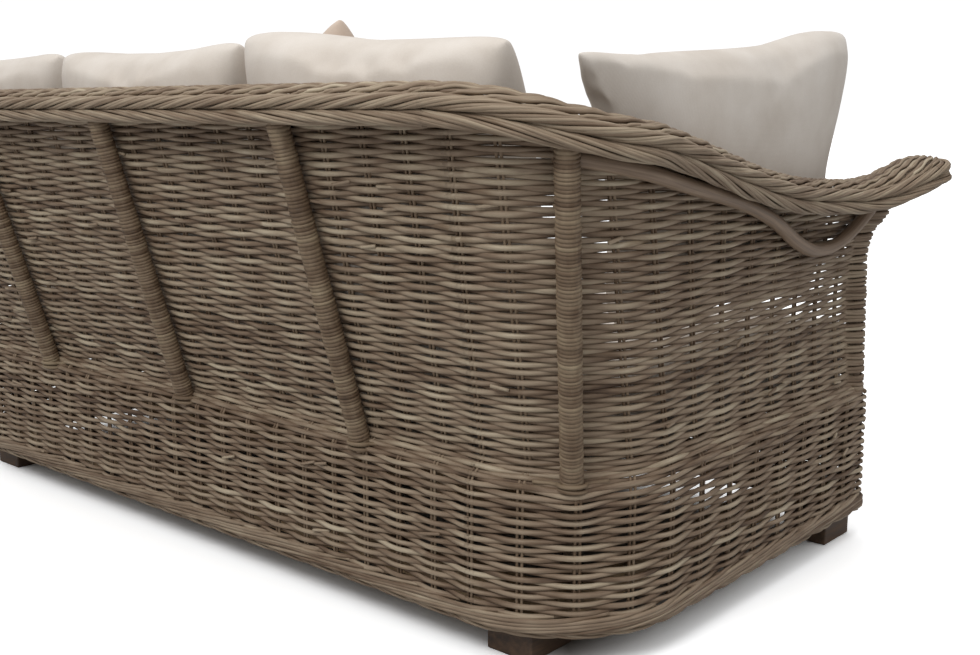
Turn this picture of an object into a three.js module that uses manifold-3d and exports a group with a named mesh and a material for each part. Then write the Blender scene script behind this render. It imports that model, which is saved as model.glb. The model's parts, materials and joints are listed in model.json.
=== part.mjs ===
// A three-seat woven rattan garden sofa with a leaning back, flared arms and loose cushions.
// Millimetres, +Z up. The sitter faces -Y. While it is built, y = 0 is the back of the rear feet.
import * as THREE from "three";
import { mergeVertices } from "three/addons/utils/BufferGeometryUtils.js";
import Module from "manifold-3d";

const wasm = await Module();
wasm.setup();
const { Manifold, Mesh: SolidMesh } = wasm;

// Driving sizes of the whole sofa.
const base_length = 1844;
const base_depth = 905;
const rear_overhang = 40; // the woven base reaches this far behind the rear feet
const floor_gap = 45;
const seat_line = 285; // the height where the woven back starts to lean
const back_line = 808; // the centre height of the border on the back
const fit = 0.3; // between pieces that touch
const overrun = 60; // added to what is then cut off at its neighbour

// The woven skin.
const weave = 14;
const rear_radius = 220;
const front_radius = 26;
const half_length = base_length / 2;
const rear_face = rear_overhang;
const front_face = rear_overhang - base_depth;
const braid_wide = 20;
const braid_high = 26;
const braid_proud = 3;
const skirt_bottom = floor_gap + braid_high + fit;

// The leaning back and the arms above the seat line.
const shoulder_rear = 28; // how far the upper skin stands in from the base, at the seat line
const shoulder_side = 17;
const back_lean_share = 0.3; // sideways travel for each unit of height
const upper_radius = 200;
const top_radius = 189;
const side_lean = 60;
const front_hollow = 13; // how far the arm skin bows in, at its front edge
const front_bend_power = 5; // the arm skin's outward curl near the border, at its front edge
const skin_flare_share = 0.35; // how much of the border's flare the skin follows
const arm_front_back = 25; // the skin's front edge leans back by this at the top

// The border that is plaited round the rim.
const border_wide = 84;
const border_high = 52;
const border_in = 3; // the border's centre stands this far inside the skin's outer face
const arm_run = 828; // from the rear corner's end to the arm's tip
const arm_drop = 100;
const arm_flare = 50;
const rail_radius = 12.5;

// Along the arm: share of the run, drop, flare, width and thickness.
const armShares = [
  [0, 0.5, 0.14, 1, 1],
  [0.12, 0.72, 0.11, 1, 1],
  [0.24, 0.96, 0.05, 1, 1],
  [0.37, 1.2, 0.01, 1, 1],
  [0.5, 1.36, 0, 1, 1],
  [0.64, 1.44, 0.03, 1.03, 0.98],
  [0.76, 1.46, 0.22, 1.12, 0.94],
  [0.84, 1.38, 0.48, 1.22, 0.9],
  [0.91, 1.22, 0.76, 1.3, 0.86],
  [0.96, 1.09, 0.94, 1.3, 0.8],
  [0.988, 1.02, 1.02, 1.08, 0.7],
  [1, 0.99, 1.05, 0.7, 0.46],
];
const cornerDropShares = [0, 0.05, 0.16, 0.3, 0.42, 0.5];
const cornerDrops = new THREE.CatmullRomCurve3(
  cornerDropShares.map((drop, i) => new THREE.Vector3(i / (cornerDropShares.length - 1), drop, 0)),
);

// Posts.
const post_radius = 14;
const binding = 3; // the cane wound round a post
const post_pitch = 468;
const corner_post_radius = 19;
const post_stand_off = 1; // between the binding and the upper skin
const binding_start = 12; // above the seat line
const corner_post_low_angle = 48;
const corner_post_top_angle = 38;
const corner_post_proud = 9; // the corner post's centre outside the base, at the seat line
const front_post_radius = 16;

// The base frame, the feet and the seat deck.
const foot_wide = 86;
const foot_deep = 100;
const foot_high = 60;
const rear_foot_inset = 129;
const front_foot_inset = 22;
const front_foot_setback = 20;
const base_rail_wide = 44;
const base_rail_high = 42;
const rear_rail_setback = 20;
const bolt_radius = 4;
const bolt_head_radius = 9;
const bolt_head_high = 5;
const bolt_depth = 40; // into the foot
const hoop_radius = 6;
const hoop_drop = 8; // the hoop's centre above the weave's lower edge
const hoop_run = 150; // the hoop's straight stretch past the corner
const seat_rail_wide = 30;
const seat_rail_high = 50;
const slat_high = 15;
const slat_wide = 95;
const slat_count = 5;

// The bow that props the border under each arm.
const bow_radius = 12.5;
// Along the bow: share of the arm's run, and share of the arm's height below the back line.
const bowShares = [
  [-0.12, 0.12],
  [0, 0.158],
  [0.11, 0.195],
  [0.22, 0.23],
  [0.34, 0.271],
  [0.465, 0.333],
  [0.57, 0.403],
  [0.66, 0.443],
  [0.72, 0.449],
  [0.78, 0.439],
  [0.846, 0.4],
  [0.89, 0.35],
  [0.92, 0.29],
];

// Cushions.
const seat_cushion_high = 140;
const seat_cushion_edge = 118;
const seat_cushion_sink = 5; // the weight flattens this much of the underside's crown
const seat_cushion_setback = 12;
const seat_cushion_rear_gap = 14;
const seat_cushion_draw_share = 0.012;
const seat_crown_power = 0.4;
const cushion_gap = 4;
const pillow_side_gap = 75.5; // between the outer back pillows and the arms
const back_pillow = { tall: 515, thick: 190, edge: 26, draw: 0.045 };
// Beside the outer back pillow, the rear end of an arm pillow is squeezed thin and pushed
// outward, and its lower corner is tucked in by the rounded corner of the wall.
const arm_pillow = { wide: 785, tall: 465, thick: 160, edge: 24, draw: 0.04 };
const squeeze = { from_share: 0.25, thin_share: 0.65, tuck: 200, push: 6 };
const scatter_pillow = { wide: 450, tall: 450, thick: 110, edge: 14, draw: 0.06 };
const lay_reach = 240; // the furthest that a pillow is moved to lie against its neighbours
const arm_pillow_lean = 13;
const arm_pillow_roll = 4.5;
const scatter_place = 228;
const scatter_lean = 20;
const scatter_roll = 18;
const slide_lift = 8; // a pillow is lifted this much while it slides over the seat
const cushion_cells = 12;

const cushion_bottom = seat_line + fit;
const cushion_top = cushion_bottom + seat_cushion_high - seat_cushion_sink;

// Colours of the materials.
const finishes = {
  weave: { color: 0x82735f, roughness: 0.75, metalness: 0 },
  braid: { color: 0x85765f, roughness: 0.7, metalness: 0 },
  binding: { color: 0x7d6c57, roughness: 0.65, metalness: 0 },
  pole: { color: 0x7a6553, roughness: 0.55, metalness: 0 },
  foot: { color: 0x4b3a2a, roughness: 0.6, metalness: 0 },
  timber: { color: 0xa98d68, roughness: 0.8, metalness: 0 },
  hoop: { color: 0x17151a, roughness: 0.6, metalness: 0 },
  steel: { color: 0x8d8f92, roughness: 0.4, metalness: 1 },
  cushion: { color: 0xcdc3b8, roughness: 0.95, metalness: 0 },
  scatter: { color: 0xc4b3a2, roughness: 0.95, metalness: 0 },
};
const materials = {};
for (const [name, finish] of Object.entries(finishes)) {
  materials[name] = new THREE.MeshStandardMaterial(finish);
  materials[name].name = name;
}

const places = ["left", "centre", "right"];
const sofa = new THREE.Group();
const groups = {};
for (const kind of ["frame", "wickerwork", "cushions"]) {
  groups[kind] = new THREE.Group();
  groups[kind].name = kind;
  sofa.add(groups[kind]);
}
const groupOf = {
  weave: "wickerwork",
  braid: "wickerwork",
  binding: "wickerwork",
  cushion: "cushions",
  scatter: "cushions",
};
const point = (x, y, z) => new THREE.Vector3(x, y, z);
const { lerp, degToRad, clamp } = THREE.MathUtils;

// A closed solid from points and triangles, turned so that its faces look outwards.
function closedSolid(points, faces) {
  const vertProperties = new Float32Array(points.flatMap((p) => [p.x, p.y, p.z]));
  const make = (triVerts) =>
    new Manifold(new SolidMesh({ numProp: 3, vertProperties, triVerts: new Uint32Array(triVerts) }));
  const solid = make(faces);
  return solid.volume() > 0 ? solid : make(faces.slice().reverse());
}

// A closed solid through rings of equally many points, with flat ends.
function loft(rings, looped = false) {
  const n = rings[0].length;
  const faces = [];
  const last = rings.length - 1;
  for (let r = 0; r < (looped ? rings.length : last); r++) {
    const next = (r + 1) % rings.length;
    for (let i = 0; i < n; i++) {
      const a = r * n + i;
      const b = r * n + ((i + 1) % n);
      const c = next * n + i;
      const d = next * n + ((i + 1) % n);
      faces.push(a, b, d, a, d, c);
    }
  }
  for (let i = 1; i + 1 < n && !looped; i++) {
    faces.push(0, i + 1, i);
    faces.push(last * n, last * n + i, last * n + i + 1);
  }
  return closedSolid(rings.flat(), faces);
}

// Unit outlines, half a unit each way: a circle and a box with rounded corners.
function roundOutline(sides) {
  return Array.from({ length: sides }, (_, i) => {
    const angle = (2 * Math.PI * (i + 0.5)) / sides;
    return [Math.cos(angle) / 2, Math.sin(angle) / 2];
  });
}
function softBoxOutline(sides, power) {
  const bend = (value) => Math.sign(value) * Math.abs(value) ** (2 / power);
  return roundOutline(sides).map(([u, v]) => [bend(2 * u) / 2, bend(2 * v) / 2]);
}

// Rings of an upright section along stations { at, wide, high }, square to the path or to a heading.
function sweepRings(stations, outline, grow = 0, looped = false) {
  const count = stations.length;
  return stations.map(({ at, wide, high, heading }, i) => {
    const before = looped ? stations[(i + count - 1) % count].at : stations[Math.max(i - 1, 0)].at;
    const after = looped ? stations[(i + 1) % count].at : stations[Math.min(i + 1, count - 1)].at;
    const along = heading ? heading.clone() : after.clone().sub(before).normalize();
    const up = point(0, 0, 1);
    const side = along.clone().cross(up).normalize();
    const top = side.clone().cross(along);
    return outline.map(([u, v]) =>
      at
        .clone()
        .addScaledVector(side, u * (wide + 2 * grow))
        .addScaledVector(top, v * (high + 2 * grow)),
    );
  });
}
function sweep(stations, outline, grow = 0, looped = false) {
  return loft(sweepRings(stations, outline, grow, looped), looped);
}

// The solid of a three.js geometry, with its shared corners joined.
function solidOf(geometry) {
  geometry.deleteAttribute("normal");
  geometry.deleteAttribute("uv");
  const merged = mergeVertices(geometry);
  const place = merged.attributes.position;
  const points = Array.from({ length: place.count }, (_, i) => point().fromBufferAttribute(place, i));
  return closedSolid(points, Array.from(merged.index.array));
}

// A box between two corners.
function block(low, high) {
  const size = high.clone().sub(low);
  const geometry = new THREE.BoxGeometry(size.x, size.y, size.z);
  geometry.translate(...low.clone().add(high).multiplyScalar(1 / 2).toArray());
  return solidOf(geometry);
}

// A straight round bar between two points.
function bar(from, to, radius, sides = 12) {
  const along = to.clone().sub(from);
  const geometry = new THREE.CylinderGeometry(radius, radius, along.length(), sides);
  const turn = new THREE.Quaternion().setFromUnitVectors(point(0, 1, 0), along.clone().normalize());
  geometry.applyQuaternion(turn);
  geometry.translate(...from.clone().lerp(to, 1 / 2).toArray());
  return solidOf(geometry);
}

// What is left of a solid, in its largest piece, once its neighbours are cut out of it.
function cut(solid, ...cutters) {
  const left = cutters.reduce((rest, cutter) => rest.subtract(cutter), solid);
  return left.decompose().reduce((a, b) => (a.volume() > b.volume() ? a : b));
}

function piece(name, material, solid) {
  const mesh = solid.getMesh();
  const place = new Float32Array(mesh.numVert * 3);
  for (let i = 0; i < mesh.numVert; i++)
    place.set(mesh.vertProperties.subarray(i * mesh.numProp, i * mesh.numProp + 3), 3 * i);
  const geometry = new THREE.BufferGeometry();
  geometry.setAttribute("position", new THREE.BufferAttribute(place, 3));
  geometry.setIndex(new THREE.BufferAttribute(mesh.triVerts, 1));
  geometry.computeVertexNormals();
  const part = new THREE.Mesh(geometry, materials[material]);
  part.name = name;
  groups[groupOf[material] ?? "frame"].add(part);
  return solid;
}

const mirrored = (solid) => solid.mirror([1, 0, 0]);

// A left piece and its mirror image.
function pair(name, material, solid) {
  piece(`${name}_left`, material, solid);
  piece(`${name}_right`, material, mirrored(solid));
  return solid;
}

// The plan outline of the base, drawn in by an inset, from the rear left corner round to the right.
function baseOutline(inset) {
  const x = half_length - inset;
  const rear = rear_face - inset;
  const front = front_face + inset;
  const rearBend = rear_radius - inset;
  const frontBend = Math.max(front_radius - inset, fit);
  const corners = [
    [-x + rearBend, rear - rearBend, rearBend],
    [-x + frontBend, front + frontBend, frontBend],
    [x - frontBend, front + frontBend, frontBend],
    [x - rearBend, rear - rearBend, rearBend],
  ];
  return corners.map(([cx, cy, bend], k) =>
    Array.from({ length: corner_steps + 1 }, (_, i) => {
      const angle = degToRad(90 * (k + 1 + i / corner_steps));
      return [cx + bend * Math.cos(angle), cy + bend * Math.sin(angle)];
    }),
  );
}

// Each corner is drawn in flat steps, which come this much nearer to its centre than the round.
const corner_steps = 8;
const facet_share = Math.cos(degToRad(45 / corner_steps));

// Places on the leaning skin above the seat line.
const lean_high = back_line - seat_line;
const seat_rear = rear_face - shoulder_rear;
const seat_side = half_length - shoulder_side;
const top_rear = seat_rear + back_lean_share * lean_high;
const top_side = seat_side + side_lean;
const seatCorner = { x: seat_side - upper_radius, y: seat_rear - upper_radius };
const topCorner = { x: top_side - top_radius, y: top_rear - top_radius };
const arm_start = topCorner.y;

// A point of the skin's outer face at an angle round the rear left corner, and at a share of the height.
function cornerSkin(angle, share, inset = 0) {
  const turn = degToRad(angle);
  const reach = lerp(upper_radius, top_radius, share) - inset;
  const x = lerp(seatCorner.x, topCorner.x, share) + reach * Math.cos(turn);
  const y = lerp(seatCorner.y, topCorner.y, share) + reach * Math.sin(turn);
  return point(-x, y, lerp(seat_line, back_line, share));
}

// Stations of the border, from the middle of the back to the left arm's tip.
const arm_mid_reach = top_side - border_in - arm_flare * armShares[0][2];
const armCurve = (column) =>
  new THREE.CatmullRomCurve3(armShares.map((row) => point(row[0], row[column], 0)));
const armCurves = [1, 2, 3, 4].map(armCurve);
function armStation(step) {
  const [drop, flare, wide, high] = armCurves.map((curve) => curve.getPoint(step));
  const reach = arm_mid_reach + arm_flare * flare.y;
  return {
    at: point(-reach, arm_start - arm_run * drop.x, back_line - arm_drop * drop.y),
    wide: border_wide * wide.y,
    high: border_high * high.y,
  };
}
function cornerStation(share) {
  const turn = degToRad(90 - 90 * share);
  const reach = top_radius - border_in;
  return {
    at: point(
      -(topCorner.x + reach * Math.cos(turn)),
      topCorner.y + reach * Math.sin(turn),
      back_line - arm_drop * cornerDrops.getPoint(share).y,
    ),
    wide: border_wide,
    high: border_high,
  };
}
const arm_steps = 18;

const skin_front = front_face + weave;
const border_samples = 4 * arm_steps;
const borderLine = Array.from({ length: border_samples + 1 }, (_, i) => armStation(i / border_samples).at);
// The border's centre over a depth of the arm, and its share of the height there.
function borderOver(y) {
  const next = borderLine.findIndex((at) => at.y <= y);
  if (next < 1) return borderLine.at(next);
  const [before, after] = [borderLine[next - 1], borderLine[next]];
  return before.clone().lerp(after, (y - before.y) / (after.y - before.y));
}
const rimShare = (y) => (borderOver(y).z - seat_line) / lean_high;
const cornerRimShare = (angle) => 1 - (arm_drop * cornerDrops.getPoint(1 - angle / 90).y) / lean_high;

// A point of the arm's skin at a share of the way from the corner to the front, and up to the border.
function armSkin(along, level, inset = 0) {
  const high_y = lerp(arm_start, skin_front + arm_front_back, along);
  const top_share = rimShare(high_y);
  const share = level * top_share;
  const y = lerp(lerp(seatCorner.y, skin_front, along), high_y, share);
  const flare = -borderOver(high_y).x - (top_side - border_in);
  const follow = skin_flare_share * flare * along;
  const lean = side_lean * top_share + follow;
  const power = lerp(1, front_bend_power, along * along);
  const hollow = front_hollow * along * along * Math.sin(Math.PI * level);
  const x = seat_side - inset + lean * level ** power - hollow;
  return point(-x, y, lerp(seat_line, back_line, share));
}
// The outer face's distance from the middle at a height and a depth along the arm.
function skinReach(y, z) {
  const share = (z - seat_line) / lean_high;
  const rear = lerp(seatCorner.y, arm_start, share);
  const front = lerp(skin_front, skin_front + arm_front_back, share);
  const along = clamp((rear - y) / (rear - front), 0, 1);
  return -armSkin(along, share / rimShare(y)).x;
}
const backStation = (x) => ({
  at: point(x, top_rear - border_in, back_line),
  wide: border_wide,
  high: border_high,
  heading: point(-1, 0, 0),
});
const corner_x = -topCorner.x;
const armStations = [
  ...Array.from({ length: corner_steps }, (_, i) => cornerStation(i / corner_steps)),
  ...Array.from({ length: arm_steps + 1 }, (_, i) => armStation(i / arm_steps)),
];
const borderOutline = softBoxOutline(12, 3);
const railOutline = roundOutline(8);
const rail_stop = 4; // the rail ends this many stations short of the tip
const poleStations = (stations, radius) =>
  stations.map(({ at, heading }) => ({ at, wide: 2 * radius, high: 2 * radius, heading }));

// The rim: a bent pole in three lengths, inside the plaited border. Returns what its neighbours are cut by.
function makeRim() {
  const straight = (reach) => [backStation(reach), backStation(-reach)];
  const armPart = [backStation(corner_x - fit / 2), ...armStations.slice(1)];
  const longer = [backStation(corner_x + overrun), ...armPart];
  const railPart = armPart.slice(0, -rail_stop);
  const bore = (stations) => sweep(poleStations(stations, rail_radius), railOutline, fit);
  const backStations = straight(-corner_x - fit / 2);
  const backBorder = sweep(backStations, borderOutline).subtract(bore(straight(-corner_x + overrun)));
  piece("top_rail_back", "pole", sweep(poleStations(backStations, rail_radius), railOutline));
  piece("border_back", "braid", backBorder);
  pair("top_rail_arm", "pole", sweep(poleStations(railPart, rail_radius), railOutline));
  const armBore = bore(longer.slice(0, 1 - rail_stop));
  pair("border_arm", "braid", cut(sweep(armPart, borderOutline), armBore));
  const cutter = sweep(longer, borderOutline, fit);
  const backCutter = sweep(straight(-corner_x + overrun), borderOutline, fit);
  return Manifold.union([cutter, mirrored(cutter), backCutter]);
}

// The centre line of a raked back post at a height.
const post_rear_low = seat_rear + (post_radius + binding + post_stand_off) * Math.hypot(1, back_lean_share);
const postAt = (x, z) => point(x, post_rear_low + back_lean_share * (z - seat_line), z);

// The raked posts: a pole, and the cane wound round its upper length.
function makeBackPosts(rim) {
  const cutters = [];
  places.forEach((name, i) => {
    const x = post_pitch * (i - 1);
    const shaft = (radius, from, to) => bar(postAt(x, from), postAt(x, to), radius);
    const floor_cut = block(
      point(x - overrun, front_face, 0),
      point(x + overrun, rear_face + overrun, base_top + fit),
    );
    piece(`back_post_${name}`, "pole", cut(shaft(post_radius, floor_gap, back_line), rim, floor_cut));
    const start = seat_line + binding_start;
    const sleeve = shaft(post_radius + binding, start, back_line).subtract(
      shaft(post_radius + fit, start - overrun, back_line + overrun),
    );
    piece(`back_post_binding_${name}`, "binding", cut(sleeve, rim));
    cutters.push(shaft(post_radius + fit, floor_gap, back_line));
    cutters.push(shaft(post_radius + binding + fit, start - fit, back_line));
  });
  return Manifold.union(cutters);
}

// The posts that lean out over the rear corners.
const cornerPostLow = (() => {
  const turn = degToRad(corner_post_low_angle);
  const reach = rear_radius + corner_post_proud;
  const centre = [half_length - rear_radius, rear_face - rear_radius];
  const [x, y] = [centre[0] + reach * Math.cos(turn), centre[1] + reach * Math.sin(turn)];
  return point(-x, y, seat_line + binding_start);
})();
// The corner post ends inside the border.
const corner_post_end = cornerStation(1 - corner_post_top_angle / 90).at.z - border_high / 4;
const cornerPostHigh = cornerSkin(
  corner_post_top_angle,
  (corner_post_end - seat_line) / lean_high,
  -(corner_post_radius + binding + post_stand_off),
);
const cornerPostAt = (z) =>
  cornerPostLow.clone().lerp(cornerPostHigh, (z - cornerPostLow.z) / (cornerPostHigh.z - cornerPostLow.z));

function makeCornerPosts(rim) {
  const shaft = (radius, from, to) => bar(cornerPostAt(from), cornerPostAt(to), radius, 16);
  const low = floor_gap;
  const start = cornerPostLow.z;
  const floor_cut = block(
    point(-half_length - overrun, front_face, 0),
    point(0, rear_face + overrun, base_top + fit),
  );
  pair("corner_post", "pole", cut(shaft(corner_post_radius, low, corner_post_end), rim, floor_cut));
  const sleeve = shaft(corner_post_radius + binding, start, corner_post_end).subtract(
    shaft(corner_post_radius + fit, start - overrun, corner_post_end + overrun),
  );
  pair("corner_post_binding", "binding", cut(sleeve, rim));
  const cutter = shaft(corner_post_radius + fit, low, corner_post_end + fit).add(
    shaft(corner_post_radius + binding + fit, start - fit, corner_post_end + fit),
  );
  return cutter.add(mirrored(cutter));
}

// The front posts, which the arm skin turns round, bend outwards under the border.
function makeFrontPosts(rim) {
  const reach = front_post_radius + fit;
  const low_x = half_length - weave - reach;
  const low_y = front_face + weave + reach;
  const top = armSkin(1, 1, weave / 2);
  const heightShares = [0.12, 0.45, 0.72, 0.86];
  const reachShares = [0, 0.1, 0.22, 0.5];
  const path = heightShares.map((share, i) =>
    point(lerp(-low_x, top.x, reachShares[i]), low_y, lerp(base_top - overrun, top.z, share)),
  );
  const curve = new THREE.CatmullRomCurve3([
    point(-low_x, low_y, base_top - overrun),
    ...path,
    point(top.x, low_y, top.z),
  ]);
  const steps = 12;
  const rings = (radius) =>
    Array.from({ length: steps + 1 }, (_, i) => {
      const at = curve.getPoint(i / steps);
      return roundOutline(12).map(([u, v]) => point(at.x + 2 * u * radius, at.y + 2 * v * radius, at.z));
    });
  const floor_cut = block(
    point(-half_length - overrun, front_face - overrun, 0),
    point(0, rear_face, base_top + fit),
  );
  pair("front_post", "pole", cut(loft(rings(front_post_radius)), rim, floor_cut));
  const cutter = loft(rings(front_post_radius + fit));
  return cutter.add(mirrored(cutter));
}

const base_bottom = foot_high + fit;
const base_top = base_bottom + base_rail_high;

// Feet, base rails and the bolts that hold them together.
function makeBase() {
  const rear_x = half_length - rear_foot_inset;
  const front_x = half_length - front_foot_inset;
  const rail_front_y = front_face + Math.max(weave, braid_wide - braid_proud) + fit;
  const front_end = half_length - front_radius;
  const rail_rear_y = -rear_rail_setback;
  const inner_radius = (rear_radius - Math.max(weave, braid_wide - braid_proud)) * facet_share - fit;
  const rail_reach = rear_radius - rear_face - rear_rail_setback;
  const rail_end = half_length - rear_radius + Math.sqrt(inner_radius ** 2 - rail_reach ** 2);
  const feet = [
    ["rear", -rear_x, 0, rail_rear_y - base_rail_wide / 2],
    ["front", -front_x, front_face + front_foot_setback + foot_deep, rail_front_y + base_rail_wide / 2],
  ];
  const shaft = (x, y, radius, low, high) => bar(point(x, y, low), point(x, y, high), radius);
  const seat_z = base_top + fit;
  const tip_z = foot_high - bolt_depth;
  const holes = [];
  const spaces = [];
  for (const [name, low_x, high_y, bolt_y] of feet) {
    const bolt_x = low_x + foot_wide / 2;
    const low_y = high_y - foot_deep;
    const high_x = low_x + foot_wide;
    const hole = shaft(bolt_x, bolt_y, bolt_radius + fit, tip_z - fit, base_top + overrun);
    const body = block(point(low_x, low_y, 0), point(high_x, high_y, foot_high));
    pair(`foot_${name}`, "foot", body.subtract(hole));
    spaces.push(
      block(point(low_x - fit, low_y - fit, -fit), point(high_x + fit, high_y + fit, foot_high)),
    );
    const head = shaft(bolt_x, bolt_y, bolt_head_radius, seat_z, seat_z + bolt_head_high);
    const stem = shaft(bolt_x, bolt_y, bolt_radius, tip_z, seat_z + bolt_head_high / 2);
    pair(`foot_bolt_${name}`, "steel", head.add(stem));
    holes.push(hole, mirrored(hole));
  }
  const rail = (low_x, low_y, high_x, high_y) =>
    block(point(low_x, low_y, base_bottom), point(high_x, high_y, base_top));
  const drilled = (solid) => holes.reduce((rest, hole) => rest.subtract(hole), solid);
  const rear_rail = rail(-rail_end, rail_rear_y - base_rail_wide, rail_end, rail_rear_y);
  const front_rail = rail(-front_end, rail_front_y, front_end, rail_front_y + base_rail_wide);
  piece("base_rail_rear", "timber", drilled(rear_rail));
  piece("base_rail_front", "timber", drilled(front_rail));
  const between = [rail_front_y + base_rail_wide + fit, rail_rear_y - base_rail_wide - fit];
  const side_x = rail_end - base_rail_wide;
  pair("base_rail_side", "timber", rail(-rail_end, between[0], -side_x, between[1]));
  const half_wide = base_rail_wide / 2;
  piece("base_rail_centre", "timber", rail(-half_wide, between[0], half_wide, between[1]));
  return Manifold.union(spaces);
}

// The rod that keeps the weave round past each rear foot, under the base frame.
function makeHoops(feet) {
  const inset = braid_wide - braid_proud + fit + hoop_radius;
  const bend = rear_radius - inset;
  const cx = -(half_length - rear_radius);
  const cy = rear_face - rear_radius;
  const z = floor_gap + hoop_drop;
  const arc = Array.from({ length: corner_steps + 1 }, (_, i) => {
    const turn = degToRad(90 + (90 * i) / corner_steps);
    return point(cx + bend * Math.cos(turn), cy + bend * Math.sin(turn), z);
  });
  const path = [...arc, point(cx - bend, cy - hoop_run, z)];
  const stations = path.map((at) => ({ at, wide: 2 * hoop_radius, high: 2 * hoop_radius }));
  pair("corner_hoop", "hoop", cut(sweep(stations, roundOutline(10)), feet));
}

// The seat deck: two rails and the slats across them.
function makeDeck() {
  const low = seat_line - slat_high - fit - seat_rail_high;
  const high = low + seat_rail_high;
  const front_y = front_face + weave + fit;
  const post_inner = half_length - weave - 2 * fit - 2 * front_post_radius - fit;
  const front_x = post_inner - front_post_radius / 2;
  const post_slope = Math.hypot(1, back_lean_share);
  const rear_y = postAt(0, low).y - post_radius * post_slope - fit;
  const rear_inner = (rear_radius - weave) * facet_share - fit;
  const rear_reach = rear_radius - rear_face + rear_y;
  const rear_x = half_length - rear_radius + Math.sqrt(rear_inner ** 2 - rear_reach ** 2) - weave;
  const rail = (x, near_y, far_y) => block(point(-x, near_y, low), point(x, far_y, high));
  piece("seat_rail_front", "timber", rail(front_x, front_y, front_y + seat_rail_wide));
  piece("seat_rail_rear", "timber", rail(rear_x, rear_y - seat_rail_wide, rear_y));
  const span = 2 * (rear_x - slat_wide / 2);
  for (let i = 0; i < slat_count; i++) {
    const x = span * (i / (slat_count - 1) - 1 / 2);
    piece(
      `seat_slat_${i + 1}`,
      "timber",
      block(point(x - slat_wide / 2, front_y, high + fit), point(x + slat_wide / 2, rear_y, seat_line)),
    );
  }
  return block(point(-rear_x - fit, front_y, low), point(rear_x + fit, rear_y + fit, cushion_bottom));
}

// The woven skirt round the base, which turns in under the back and arms, and the braid below it.
function makeSkirt(posts, deck) {
  const corners = baseOutline(0);
  const inner = baseOutline(weave);
  const ring = (out, back) => [
    point(out[0], out[1], skirt_bottom),
    point(out[0], out[1], seat_line),
    point(back[0], back[1], seat_line),
    point(back[0], back[1], skirt_bottom),
  ];
  const rear_x = half_length - rear_radius - fit / 2;
  const front_x = half_length - front_radius - fit / 2;
  const rear = block(point(-rear_x, rear_face - weave, skirt_bottom), point(rear_x, rear_face, seat_line));
  const ledge_low = seat_line - weave;
  const rear_ledge = block(
    point(-rear_x, seat_rear - weave, ledge_low),
    point(rear_x, rear_face - weave / 2, seat_line),
  );
  piece("woven_skirt_rear", "weave", cut(rear.add(rear_ledge), posts, deck));
  const side = [0, 1].flatMap((k) => corners[k].map((out, i) => ring(out, inner[k][i])));
  const left = loft(side);
  const ledgeRing = ([x, y], back) => [
    point(x, y, seat_line),
    point(back.x, back.y, seat_line),
    point(back.x, back.y, ledge_low),
    point(x, y, ledge_low),
  ];
  const middle = baseOutline(weave / 2)[0];
  const ledge = middle.map((at, i) => ledgeRing(at, cornerSkin(90 - (90 * i) / corner_steps, 0, weave)));
  const ledge_end = armSkin(1, 0, weave);
  ledge.push(ledgeRing([weave / 2 - half_length, ledge_end.y], ledge_end));
  const left_ledge = cut(loft(ledge), block(
    point(-rear_x - fit / 2, seat_rear - lay_reach, ledge_low - overrun),
    point(0, rear_face + overrun, seat_line + overrun),
  ));
  pair("woven_skirt_side", "weave", cut(left.add(left_ledge), posts, deck));
  piece(
    "woven_skirt_front",
    "weave",
    block(point(-front_x, front_face, skirt_bottom), point(front_x, front_face + weave, seat_line)),
  );
  const braid_inset = braid_wide / 2 - braid_proud;
  const stations = baseOutline(braid_inset)
    .flat()
    .map(([x, y]) => ({ at: point(x, y, floor_gap + braid_high / 2), wide: braid_wide, high: braid_high }));
  piece("bottom_braid", "braid", sweep(stations, roundOutline(10), 0, true));
}

// The woven back and arms, cut to the border above and to the posts.
function makeUpperSkin(rim, posts) {
  const levelShares = [0, 0.3, 0.55, 0.75, 0.88, 1];
  const arm_cells = 7;
  function skinRing(at) {
    const outer = levelShares.map((level) => at(level, 0));
    const inner = levelShares.map((level) => at(level, weave)).reverse();
    const ring = [...outer, ...inner];
    for (const end of [ring[0], ring[ring.length - 1]]) end.z += fit;
    return ring;
  }
  const corner = (angle) =>
    skinRing((level, inset) => cornerSkin(angle, level * cornerRimShare(angle), inset));
  const arm = (along) => skinRing((level, inset) => armSkin(along, level, inset));
  const seam = corner(90).map((p) => p.add(point(fit, 0, 0)));
  const back = loft([seam, seam.map((p) => point(-p.x, p.y, p.z))]);
  const woven_back = piece("woven_back", "weave", cut(back, rim, posts));
  const rings = [
    ...Array.from({ length: corner_steps }, (_, i) => corner(90 + (-90 * i) / corner_steps)),
    ...Array.from({ length: arm_cells + 1 }, (_, i) => arm(i / arm_cells)),
  ];
  const woven_arm = pair("woven_arm", "weave", cut(loft(rings), rim, posts));
  return Manifold.union([woven_back, woven_arm, mirrored(woven_arm)]);
}

// A smooth bent pole under each arm, from the corner post to the border near the front.
function makeBows(rim, posts, skin) {
  const path = bowShares.map(([along, drop]) => {
    const y = arm_start - arm_run * along;
    const z = lerp(back_line, seat_line, drop);
    return point(-(skinReach(y, z) + 2 * bow_radius), y, z);
  });
  const curve = new THREE.CatmullRomCurve3(path);
  const steps = 26;
  const stations = Array.from({ length: steps + 1 }, (_, i) => ({
    at: curve.getPoint(i / steps),
    wide: 2 * bow_radius,
    high: 2 * bow_radius,
  }));
  const bow = laid(sweep(stations, roundOutline(10)), [1, 0, 0], skin, bow_radius);
  pair("arm_bow", "pole", cut(bow, rim, posts));
}

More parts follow.
